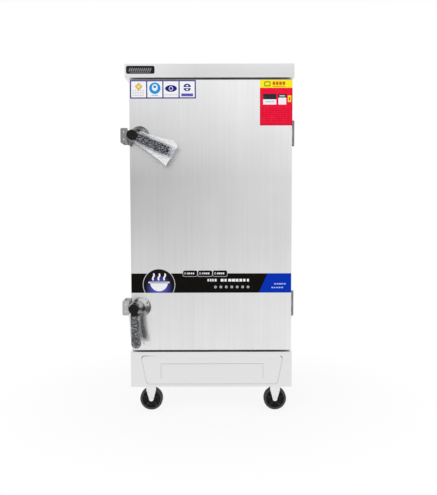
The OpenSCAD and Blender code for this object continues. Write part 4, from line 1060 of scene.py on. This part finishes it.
# %% Band
BAND_X = (-344.2, 346.2)
BAND_Z = (534.0, 618.0)
BAND_MIDDLE = sum(BAND_Z) / 2 * MM
BLUE_X = 206.0
BLUE_LEAN = 38.0
KEY_LEFT, KEY_STEP = 14, 23.5
TAB_LEFT, TAB_STEP, TAB_WIDTH, TAB_LINE = -122, 64.5, 64, 1.6
TAB_Z = (604, 632)

band = Print("printed_band")
band.bar(0, "black", BAND_X, BAND_Z)
slant = Print("blue_band_end")
slant.bar(1, "blue", (BLUE_X, BAND_X[1]), BAND_Z)
for vert in slant.bm.verts:
    if near(vert.co.x, from_middle(BLUE_X)) and vert.co.z > BAND_MIDDLE:
        vert.co.x += BLUE_LEAN * MM
rng = random.Random(11)
for x, z in (((273, 325), 575), ((261, 313), 559)):
    slant.rows(2, "mist", x, (z,), 5.5, 5, rng)
slant.place("door")
band.rows(1, "white", (-15, 26), (594,), 11, 4, rng)
band.rows(1, "white", (42, 171), (594,), 11.5, 8, rng)
for i in range(7):
    x = KEY_LEFT + i * KEY_STEP
    if i % 2:
        band.bar(1, "pale", (x, x + 10), (554, 564), 2)
    else:
        band.round(1, "pale", x + 5, 559, 5.5)
    band.round(2, "black", x + 5, 559, 2.6)
for i in range(3):
    left = TAB_LEFT + i * TAB_STEP
    hole = (left + TAB_LINE, left + TAB_WIDTH - TAB_LINE)
    band.bar(1, "pale", (left, left + TAB_WIDTH), TAB_Z, 7)
    band.bar(2, "black", hole, (TAB_Z[0] + TAB_LINE, TAB_Z[1] - TAB_LINE), 6)
    band.round(3, "pale", left + 11, 618, 4.5)
    band.round(4, "black", left + 11, 618, 2.6)
    band.rows(3, "white", (left + 20, left + 52), (621.5,), 7, 4, rng)
band.place("door")

# %% [markdown]
# ## Glow behind the badge
# The badge is printed with a blue glow that fades to black round its middle. A lamp behind it would
# light the door as well, so the glow is a colour: a ramp over the distance from a point just below
# the badge's middle, which is the same from every side.

# %% Badge glow
BADGE = (-224.5, 569.0)
BADGE_R = 70.0
GLOW_DROP = 14
GLOW_EDGE, RAMPS_PER_METRE = 0.80, 14

badge_glow = Finish("badge_glow")
heart = spot(BADGE[0], 0, BADGE[1] - GLOW_DROP)
distance = badge_glow.vector("DISTANCE", badge_glow.place, heart, out=1)
glow = badge_glow.ramp(distance * RAMPS_PER_METRE, (0.20, 1.0), (GLOW_EDGE, 0.0))
haze = badge_glow.noise(badge_glow.place, 60, 3, 0.6)
badge_glow.set(
    Base_Color=badge_glow.mix(glow, (0.006, 0.005, 0.006), (0.10, 0.11, 0.62)),
    Roughness=0.24 + haze * 0.08,
    Specular_IOR_Level=0.08,
)
INKS["glow"] = badge_glow.material
print("glow fades out", round(GLOW_EDGE / RAMPS_PER_METRE / MM), "mm from its heart")

# %% [markdown]
# ## Round badge
# A round black badge with a pale rim stands up from the band, and the band's lower edge cuts it
# off. Its sign is a plain bowl with three wisps of steam. The bowl is a disc cut at its rim line. A
# wisp could be a curve with a width, but a curve's ends and thickness are hard to keep flat, so it
# is a ribbon: an edge is spun one way and then the other.

# %% Wisps and cuts
WISP_WIDTH = 7.0
WISP_CURVE = 10.0
WISP_TURN = 90


def wisp(sticker, layer, x, z):
    """An S-shaped ribbon: an edge is spun one way, then the other, and given its thickness."""
    bm = sticker.bm
    before = set(bm.faces)
    depth = sticker.depth(layer)
    lean = Matrix.Rotation(math.radians(-WISP_TURN / 2), 3, "Y")
    across = lean @ Vector((1, 0, 0))
    ends = [spot(x, depth[0], z) + across * side * WISP_WIDTH / 2 * MM for side in (-1, 1)]
    edge = bm.edges.new([bm.verts.new(end) for end in ends])
    for way in (1, -1):
        middle = (edge.verts[0].co + edge.verts[1].co) / 2
        last = bmesh.ops.spin(
            bm,
            geom=[edge],
            cent=middle + across * way * WISP_CURVE * MM,
            axis=(0, 1, 0),
            angle=math.radians(WISP_TURN * way),
            steps=8,
        )["geom_last"]
        edge = only(bmesh.types.BMEdge, last)[0]
        across = Matrix.Rotation(math.radians(WISP_TURN * way), 3, "Y") @ across
    ribbon = [face for face in bm.faces if face not in before]
    paint(ribbon, sticker.number("white"))
    back = bmesh.ops.extrude_face_region(bm, geom=ribbon)["geom"]
    verts = only(bmesh.types.BMVert, back)
    bmesh.ops.translate(bm, verts=verts, vec=(0, (depth[1] - depth[0]) * MM, 0))


def trim(bm, verts, height, keep_below):
    """Cuts a print off at a height and closes the cut."""
    faces = faces_of(verts)
    edges = {edge for face in faces for edge in face.edges}
    cut = bmesh.ops.bisect_plane(
        bm,
        geom=list(verts) + list(edges) + list(faces),
        plane_co=(0, 0, height * MM),
        plane_no=(0, 0, 1 if keep_below else -1),
        clear_outer=True,
    )["geom_cut"]
    bmesh.ops.holes_fill(bm, edges=only(bmesh.types.BMEdge, cut))


# %% [markdown]
# ## The badge itself
# The parts of the badge are laid on each other like the band's, one layer each, and the finished
# badge is cut at the foot of the band. Cutting last keeps every layer's edge in one line.

# %% Badge
BOWL_Z, BOWL_R = 579, 38
WISP_STEP, WISP_Z = 24, 589

badge = Print("round_badge")
badge.round(3, "pale", *BADGE, BADGE_R, sides=96)
badge.round(4, "glow", *BADGE, BADGE_R - 2.6, sides=96)
bowl = badge.round(5, "white", BADGE[0], BOWL_Z, BOWL_R)
trim(badge.bm, bowl, BOWL_Z, True)
badge.bar(5, "white", around(BADGE[0], BOWL_R + 8), around(BOWL_Z, 3), 2.8)
for way in (-1, 0, 1):
    wisp(badge, 5, BADGE[0] + way * WISP_STEP, WISP_Z)
trim(badge.bm, badge.bm.verts, BAND_Z[0], False)
badge.place("door")

# %% [markdown]
# ## Name plate on the cap
# A small black plate with rounded corners is screwed near the left end of the cap. It carries a
# raised rim and a plain pattern of slanted strokes over a thin line, where a name would be. The rim
# could be a frame laid on top, but an inset of the front face that is pushed in leaves no gap. A
# stroke is a block whose top is moved aside, so its sides lean.

# %% Name plate
PLATE_X = (-356.5, -236.0)
PLATE_Z = (1466.0, 1499.0)
PLATE_RIM, PLATE_SINK = 1.6, 0.5
SCREW_INSET = 7
STROKES, STROKE_HEIGHT, STROKE_SLANT, STROKE_SHARE = 11, 15, 0.35, 0.60
STROKE_LEFT, STROKE_ROOM, STROKE_LIFT = 10, 24, 9
CAP_FACE = (CAP_LO[1] - DOOR_FACE) / MM

plate_finishes = [
    moulded("plate_black", (0.008, 0.008, 0.009), 0.34, 0.0001, 0.01, 0.15),
    moulded("plate_rim", (0.014, 0.014, 0.016), 0.30, 0.0001, 0.03, 0.15),
    moulded("plate_pattern", (0.20, 0.20, 0.21), 0.30, 0.0001, 0.05, 0.3),
]
bm = bmesh.new()
block(bm, PLATE_X, (CAP_FACE - 1.2, CAP_FACE + 0.1), PLATE_Z, 1, 7)
front = min(bm.faces, key=lambda f: f.calc_center_median().y)
bmesh.ops.inset_individual(bm, faces=[front], thickness=PLATE_RIM * MM)
sunk = bmesh.ops.extrude_discrete_faces(bm, faces=[front])["faces"][0]
bmesh.ops.translate(bm, verts=sunk.verts, vec=(0, PLATE_SINK * MM, 0))
sunk.material_index = 0
for x in (PLATE_X[0] + SCREW_INSET, PLATE_X[1] - SCREW_INSET):
    place = spot(x, CAP_FACE - 0.7, sum(PLATE_Z) / 2)
    screw_head(bm, place, (0, -1, 0), 2.0, 0.9, 30, 1)
step = (PLATE_X[1] - PLATE_X[0] - STROKE_ROOM) / STROKES
depth = (CAP_FACE - 1.1, CAP_FACE - 0.5)
foot = PLATE_Z[0] + STROKE_LIFT
for i in range(STROKES):
    first = len(bm.verts)
    left = PLATE_X[0] + STROKE_LEFT + i * step
    block(bm, (left, left + step * STROKE_SHARE), depth, (foot, foot + STROKE_HEIGHT), 2, 1.5)
    bm.verts.ensure_lookup_table()
    for vert in bm.verts[first:]:
        vert.co.x += (vert.co.z - foot * MM) * STROKE_SLANT
block(bm, (PLATE_X[0] + 16, PLATE_X[1] - 18), depth, (foot - 4.5, foot - 2.5), 2)
new_piece("name_plate", bm, plate_finishes, "cabinet")

# %% [markdown]
# ## Turned parts
# The roses and the hub caps are round, as if cut on a lathe. Stacked discs would leave steps, so a
# few points of the profile are joined by edges, and the profile is spun once round its axis. The
# last ring is merged with the first, and points on the axis become one.

# %% Turned parts
AXIS_MERGE = 0.000005


def turned(bm, x, z, profile, steps):
    """Spins a profile of (radius, depth) points about an axis that looks to the front."""
    before = set(bm.faces)
    verts = [bm.verts.new(spot(x + r, y, z)) for r, y in profile]
    edges = [bm.edges.new(pair) for pair in zip(verts, verts[1:])]
    bmesh.ops.spin(
        bm,
        geom=verts + edges,
        cent=spot(x, 0, z),
        axis=(0, 1, 0),
        angle=2 * math.pi,
        steps=steps,
        use_merge=True,
    )
    fresh = [face for face in bm.faces if face not in before]
    points = list({v for f in fresh for v in f.verts})
    bmesh.ops.remove_doubles(bm, verts=points, dist=AXIS_MERGE)
    paint([face for face in fresh if face.is_valid], 0)


# %% [markdown]
# ## Latch roses
# Each latch stands on a cast rose with a raised rim, held by two dark screws. The rose could be
# remade whole, but the housing carries its shape already, so only the rim and the screws are added.

# %% Latch roses
ROSE_X = -302.0
SCREW_RING, SCREW_ANGLE = 32, 35
RIM = [(41.9, -4.4), (41.9, -5.6), (41.2, -6.4), (39.4, -6.4), (38.4, -5.4), (38.4, -4.4)]

for side, z in LATCH_Z.items():
    bm = bmesh.new()
    turned(bm, ROSE_X, z, RIM + RIM[:1], 72)
    for angle in (-SCREW_ANGLE, SCREW_ANGLE):
        across, up = math.cos(math.radians(angle)), math.sin(math.radians(angle))
        place = spot(ROSE_X + SCREW_RING * across, -4.95, z + SCREW_RING * up)
        screw_head(bm, place, (0, -1, 0), 4.0, 2.0, angle, 1)
    piece = new_piece(side + "_rose_trim", bm, [LATCH_CHROME[side], dark_steel], "door")

# %% [markdown]
# ## Levers and their hub caps
# A lever is a moulded bar with soft edges, under a domed cap on its hub. The cap is turned from its
# own profile, because the dome's slow curve shows in its highlight. The bar keeps the shape of its
# part and only has its edges rounded, with a larger radius than metal has.

# %% Levers
LEVER_FRONT, LEVER_BACK = -63.0, -37.0
DOME = [(0, -0.7), (9, -0.65), (15, -0.3), (18.6, 1.0), (20.4, 3.4), (21.3, 6)]
SKIRT = [(21.3, LEVER_BACK - 2), (20.2, LEVER_BACK), (0, LEVER_BACK)]

for side, z in LATCH_Z.items():
    bm = bmesh.new()
    turned(bm, HUB_X, z, [(r, LEVER_FRONT + y) for r, y in DOME] + SKIRT, 56)
    piece = new_piece(side + "_hub_cap", bm, [black_plastic], side + "_latch")
for side in LATCH_Z:
    rounded_copy(
        side + "_lever", 2.4, side + "_latch", segments=3, sharp=50
    )

# %% [markdown]
# ## Clear film
# New cabinets arrive with a clear film bag on each lever. A glass shader is slow here and turns
# dark where layers lie over each other, so the film is a pale sheet that is mostly see-through and
# shows at its creases, and at glints and specks that are painted highlights. How loose the film lies
# is kept as an attribute, because loose film looks whiter than film that clings.

# %% Film finish
LEVER_TURN = {"upper": 24.2, "lower": 86.6}


def clear_film(name, cling, loose, crease_scale, turn, dull=(0.72, 0.73, 0.76)):
    finish = Finish(name)
    slack = finish.attribute("slack")
    along = finish.stretched((0.35, 1, 1), turn)
    folds = finish.noise(along, crease_scale, 4, 0.7)
    fine = finish.noise(along, crease_scale * 3.1, 3, 0.6)
    specks = finish.noise(finish.place, crease_scale * 3.4, 3, 0.65)
    ridges = finish.ramp(folds, (0.42, 0.0), (0.50, 1.0), (0.58, 0.0))
    # painted highlights: glints and sparkle make the film show as light specks
    painted_glints = finish.ramp(fine, (0.54, 0.0), (0.62, 1.0))
    painted_sparkle = finish.ramp(specks, (0.50, 0.0), (0.58, 1.0))
    lighter = tuple(min(0.95, c * 1.25) for c in dull)
    finish.set(
        Base_Color=finish.mix(slack, finish.mix(ridges, dull, lighter), (0.97, 0.97, 0.98)),
        Roughness=0.22 + folds * 0.15,
        Alpha=slack * (loose + ridges * 0.22) + painted_glints * 0.14 + painted_sparkle * 0.20 + cling,
        Normal=finish.bump(folds, 0.0016, 0.8),
    )
    return finish.material


FILM = {
    "upper": clear_film("film_flared", 0.01, 0.32, 60, LEVER_TURN["upper"], (0.60, 0.62, 0.70)),
    "lower": clear_film("film_tight", 0.02, 0.30, 50, LEVER_TURN["lower"]),
    # The fold's film is near black away from its hem and foot: painted shadow of the lever beside it.
    "fold": clear_film("film_fold", 0.50, 0.24, 75, LEVER_TURN["lower"], (0.07, 0.07, 0.08)),
}
print("films:", len(FILM))

# %% [markdown]
# ## Film bags
# The upper bag flares open past the lever's tip, and the lower one is wrapped tight. A simulation
# makes soft folds like cloth, while film is stiff and creases sharply, so the bag is modelled: a
# round ring is extruded along the lever, and its points are pressed flat, spread to the bag's width
# and creased with noise. Its sizes are read off lines between marks, and a Solidify modifier gives
# the film its thickness.

# %% Film bag tools
RING, STEPS = 56, 46
FILM_T = 0.2
LEVER_HALF = 20.0
MOUTH = 22
LIMIT = (LEVER_BACK - LEVER_FRONT) / 2 + 1.4
SPREAD_POWER, PRESS_POWER = 0.8, 0.35
WAVE_SCALE, CREASE_SCALE = 0.035, 0.05


def between(x, marks):
    """The value at x on a line through (place, value) marks."""
    for (x0, v0), (x1, v1) in zip(marks, marks[1:]):
        if x <= x1:
            return v0 + (v1 - v0) * max(0.0, (x - x0) / (x1 - x0))
    return marks[-1][1]


def film_wall(piece):
    """Gives a sheet of film its thickness, half to each side."""
    wall = piece.modifiers.new("film", "SOLIDIFY")
    wall.thickness = FILM_T * MM
    wall.offset = 0


def film_bag(side, ends, above, below, depth, lip, seed):
    """A creased bag: above, below and depth are its half sizes, lip is the shape of its mouth."""
    start, end = ends
    bm = bmesh.new()
    slack = bm.verts.layers.float.new("slack")
    ring = bmesh.ops.create_circle(
        bm, segments=RING, radius=1, matrix=Matrix.Rotation(math.pi / 2, 4, "Y")
    )["verts"]
    bmesh.ops.translate(bm, verts=ring, vec=(start, 0, 0))
    edges = list({edge for vert in ring for edge in vert.link_edges})
    for _ in range(STEPS):
        new = bmesh.ops.extrude_edge_only(bm, edges=edges)["geom"]
        edges = only(bmesh.types.BMEdge, new)
        verts = only(bmesh.types.BMVert, new)
        bmesh.ops.translate(bm, verts=verts, vec=((end - start) / STEPS, 0, 0))
    for vert in bm.verts:
        x, c, s = vert.co.x, vert.co.y, vert.co.z
        half = between(x, above if s > 0 else below)
        spread = math.copysign(abs(s) ** SPREAD_POWER, s)
        wave = noise.noise(Vector((x * WAVE_SCALE, spread * 3.0, seed)))
        fan = spread * 9.0 / (1 + x * 0.004)
        crease = abs(noise.noise(Vector((x * CREASE_SCALE, fan, seed + 5))))
        flutter = max(0.0, (x - end + MOUTH) / MOUTH)
        loose = min(1.0, max(0.0, (abs(spread) * half - LEVER_HALF + 3) / 14))
        press = math.copysign(abs(c) ** PRESS_POWER, c)
        thick = between(x, depth) * (1 - 0.55 * loose * (1 - flutter * 0.4))
        deep = press * thick + wave * 3.0 * loose
        deep += math.copysign(1.2 * crease, c)
        vert.co = Vector(
            (
                x + flutter * (3.5 * wave + between(spread, lip)),
                min(max(deep, -LIMIT), LIMIT),
                spread * half * (1 + 0.05 * wave + 0.06 * (crease - 0.2)) + flutter * 4 * wave,
            )
        )
        vert[slack] = min(1.0, loose + flutter * 0.3)
    lie = (
        Matrix.Translation(spot(HUB_X, (LEVER_FRONT + LEVER_BACK) / 2, LATCH_Z[side]))
        @ Matrix.Rotation(math.radians(LEVER_TURN[side]), 4, "Y")
        @ Matrix.Scale(MM, 4)
    )
    bmesh.ops.transform(bm, matrix=lie, verts=bm.verts)
    piece = new_piece(side + "_film_bag", bm, [FILM[side]], side + "_latch", 60)
    film_wall(piece)
    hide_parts(side + "_lever_sleeve")


# %% [markdown]
# ## The two bags
# A bag is told by marks along the lever: how far it reaches above and below the middle, and how
# thick it is. The upper bag widens to its mouth, whose lip is uneven. The lower one narrows to a
# twisted end, the same above and below.

# %% Two film bags
film_bag(
    "upper",
    (25, 185),
    [(25, 28), (70, 33), (120, 41), (160, 49), (185, 53)],
    [(25, 25), (70, 32), (120, 44), (160, 53), (185, 61)],
    [(25, 14.2), (150, 14.2), (185, 9)],
    [(-1, -4), (0, 5), (0.6, 9), (1, -14)],
    3,
)
TIGHT = [(30, 22), (60, 20.8), (150, 20.8), (158, 19), (165, 14.5), (171.5, 5)]
film_bag(
    "lower",
    (30, 171.5),
    TIGHT,
    TIGHT,
    [(30, 14.2), (160, 14.2), (171.5, 8)],
    [(-1, 0), (1, 0)],
    8,
)

# %% [markdown]
# ## A loose fold of film
# The neck of the lower bag hangs out beside the lever as one loose fold. Pulling it out of the bag
# would stretch the bag's faces, so it is a sheet of its own that starts as a flat grid. Each point
# is moved to its place along the fold, which widens and curls towards its foot. Away from its hem
# and foot the film is near black, as painted shadow of the lever.

# %% Loose fold
FOLD_TOP = (-297.0, -42.0, 446.0)
FOLD_FOOT = (-280.0, -24.0, 314.0)
FOLD_WIDTH = [(0.0, 10.0), (0.35, 17.0), (0.8, 20.0), (1.0, 26.0)]
FOLD_SWAY, FOLD_CURL, FOLD_CREASE = -5, 16, 3

bm = bmesh.new()
slack = bm.verts.layers.float.new("slack")
bmesh.ops.create_grid(bm, x_segments=28, y_segments=10, size=0.5)
for vert in bm.verts:
    along, side = vert.co.x + 0.5, vert.co.y
    crease = noise.noise(Vector((along * 4, side * 3, 2.0)))
    x, y, z = (a + (b - a) * along for a, b in zip(FOLD_TOP, FOLD_FOOT))
    x += side * between(along, FOLD_WIDTH) + math.sin(along * math.pi) * FOLD_SWAY
    y += FOLD_CURL * side * side + crease * FOLD_CREASE
    vert.co = spot(x, y, z + crease * 4 * along)
    hem = max(0.0, -side - 0.26) * 6
    vert[slack] = min(1.0, hem + max(0.0, along - 0.76) * 6)
fold = new_piece("lower_film_fold", bm, [FILM["fold"]], "lower_latch", 60)
film_wall(fold)

# %% [markdown]
# ## Fixings
# Screws and bolts sit near the corners of the parts they hold. Their places could be typed, but
# they would be wrong after any change of size. A helper finds a point of a part's box instead: a
# distance above nought counts from its low side, one below nought from its high side. Heads sink a
# little, so they never float.

# %% Places for fixings
SINK = 0.05


def inset(node, x, y, z):
    """A point of a part's box at distances in millimetres from its sides."""
    lo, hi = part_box(node)
    sides = (lo[i] if d >= 0 else hi[i] for i, d in enumerate((x, y, z)))
    return Vector(side + d * MM for side, d in zip(sides, (x, y, z)))


def bolt_head(bm, place, facing, radius=6.0, height=4.0):
    """A hexagon head with a softened top edge."""
    lift = Matrix.Translation((0, 0, height * MM / 2))
    verts = drum(bm, 6, radius, radius, height, stand_on(place, facing) @ lift)
    soften(bm, list({edge for vert in verts for edge in vert.link_edges}), 0.5, 2)


def fixings(name, body, places, facing, head=screw_head, **sizes):
    """One piece with a head at each place."""
    bm = bmesh.new()
    for place in places:
        head(bm, place, facing, **sizes)
    new_piece(name, bm, [zinc_plate], body)


# %% [markdown]
# ## Screws of keepers and hinges
# A keeper has two screws on its front and two on its side. Each hinge leaf has three down its
# length. One piece could hold all the screws of a hinge, but the door's half swings away, so the
# screws of each leaf ride on the body that the leaf is on.

# %% Screws on keepers and hinges
for side in LATCH_Z:
    keeper = side + "_keeper"
    face = [inset(keeper, 14, 1.2 - SINK, z) for z in (16, -16)]
    fixings(side + "_keeper_face_screws", "cabinet", face, (0, -1, 0), radius=3.0, height=1.4)
    leaf = [inset(keeper, -3 + SINK, -12, z) for z in (14, -14)]
    fixings(side + "_keeper_leaf_screws", "cabinet", leaf, (-1, 0, 0), radius=3.4)
    frame_leaf = [inset(side + "_hinge_frame_leaf", 2 - SINK, -12, z) for z in (14, 55, -14)]
    fixings(side + "_hinge_frame_screws", "cabinet", frame_leaf, (1, 0, 0), radius=3.6)
    door_leaf = [inset(side + "_hinge_door_leaf", 2 - SINK, 12, z) for z in (14, 55, -14)]
    fixings(side + "_hinge_door_screws", "door", door_leaf, (1, 0, 0), radius=3.6)

# %% [markdown]
# ## Screws of covers and the back
# The covers of the terminal box and the float box come off for service, so each has a screw near
# every corner. The back is held by six rows near both sides. They are evenly spaced from foot to
# top, so a loop over the rows and sides is all that they need.

# %% Screws on covers and the back
BACK_ROWS, FIRST_ROW, ROW_STEP = 6, 20, 227

cover = [inset("terminal_cover", x, -SINK, z) for x in (9, -9) for z in (9, -9)]
fixings("terminal_cover_screws", "cabinet", cover, (0, 1, 0), radius=3.6)
lid = [inset("float_box_lid", x, y, -SINK) for x in (10, -10) for y in (10, -10)]
fixings("float_lid_screws", "cabinet", lid, (0, 0, 1), radius=3.6)
rows = [FIRST_ROW + i * ROW_STEP for i in range(BACK_ROWS)]
back = [inset("cabinet_shell", x, -SINK, z) for z in rows for x in (12, -12)]
fixings("back_screws", "cabinet", back, (0, 1, 0), radius=3.6)
print("back screws:", len(back))

# %% [markdown]
# ## Bolts of the castor plates
# Each castor is bolted to the base from below, with a hexagon head near each corner of its plate.
# The front castors are fixed, with plate and fork in one part, so the loop picks the part to hold.

# %% Bolts of the castor plates
for corner in CORNERS:
    plate = corner + ("_castor_fork" if corner.startswith("front") else "_castor_plate")
    under = [inset(plate, x, y, -3 + SINK) for x in (11, -11) for y in (10, -10)]
    fixings(corner + "_plate_bolts", "cabinet", under, (0, 0, -1), bolt_head)

# %% [markdown]
# ## Floor and surroundings
# The floor is a plain pale sheet that fades to white away from the cabinet, so only the soft shadow
# shows. The world is white where the camera, a reflection or a clear film looks at it, and gives a
# plain soft light otherwise. More light would whiten them too, but it would bleach the cabinet.
# The Light Path node tells which ray asks, so both are only shown white.

# %% Floor and world
FLOOR_RADIUS = 9.0
FADE_START, FADE_END = (0.05, 0.86), (0.12, 1.0)
SKY_LIGHT = 0.62
WHITE, FLOOR_TONE = (1, 1, 1), (0.88, 0.88, 0.88)


def shown(nodes):
    """1 for a ray that shows the surroundings rather than lights the object."""
    camera_ray, glossy, through = (
        nodes.node("ShaderNodeLightPath", {}, {}, "Is " + kind + " Ray")
        for kind in ("Camera", "Glossy", "Transmission")
    )
    return nodes.larger(nodes.larger(camera_ray, through), glossy)


def floor_finish():
    finish = Finish("pale_floor")
    distance = finish.vector("LENGTH", finish.place, out=1)
    far = finish.ramp(distance * (1 / FLOOR_RADIUS), FADE_START, FADE_END)
    white = finish.node("ShaderNodeEmission", {}, {"Color": WHITE, "Strength": 1.0})
    sheet = finish.node("ShaderNodeBsdfDiffuse", {}, {"Color": FLOOR_TONE})
    both = finish.node("ShaderNodeMixShader", {}, {0: shown(finish) * far, 1: sheet, 2: white})
    finish.tree.links.new(both.socket, finish.tree.nodes["Material Output"].inputs["Surface"])
    return finish.material


bm = bmesh.new()
bmesh.ops.create_circle(bm, cap_ends=True, segments=96, radius=FLOOR_RADIUS)
floor_mesh = bpy.data.meshes.new("floor")
bm.to_mesh(floor_mesh)
bm.free()
floor = bpy.data.objects.new("floor", floor_mesh)
bpy.context.collection.objects.link(floor)
floor.data.materials.append(floor_finish())

world = bpy.data.worlds.new("studio")
bpy.context.scene.world = world
world.use_nodes = True
sky = Nodes(world.node_tree)
level = sky.node(
    "ShaderNodeMapRange", {}, {"Value": shown(sky), "To Min": SKY_LIGHT, "To Max": 1.0}
)
background = sky.tree.nodes["Background"].inputs
sky.feed(background["Color"], WHITE)
sky.feed(background["Strength"], level)
print("floor radius", FLOOR_RADIUS, "m, sky light", SKY_LIGHT)

# %% [markdown]
# ## Softboxes
# Two large softboxes shape the metal from the front, and one above the back keeps the other sides
# readable. A sun would give hard shadows and small highlights, while a large rectangle lights sheet
# metal softly. The boxes are hidden from reflections, so no bright square shows in the door.


# %% Softboxes
def softbox(name, place, aim, size, watts):
    lamp = bpy.data.lights.new(name, "AREA")
    lamp.shape = "RECTANGLE"
    lamp.size, lamp.size_y = size
    lamp.energy = watts
    box = bpy.data.objects.new(name, lamp)
    box.location = place
    box.rotation_euler = (Vector(aim) - Vector(place)).to_track_quat("-Z", "Y").to_euler()
    box.visible_glossy = False
    bpy.context.collection.objects.link(box)
    print(name, watts, "W")


softbox("key_softbox", (-2.2, -3.4, 3.0), (0, -0.2, 0.8), (2.4, 2.4), 60)
softbox("fill_softbox", (2.8, -3.0, 1.6), (0, -0.2, 0.7), (1.6, 2.4), 25)
softbox("back_softbox", (0.5, 3.2, 3.4), (0, 0.2, 0.8), (2.6, 1.6), 26)
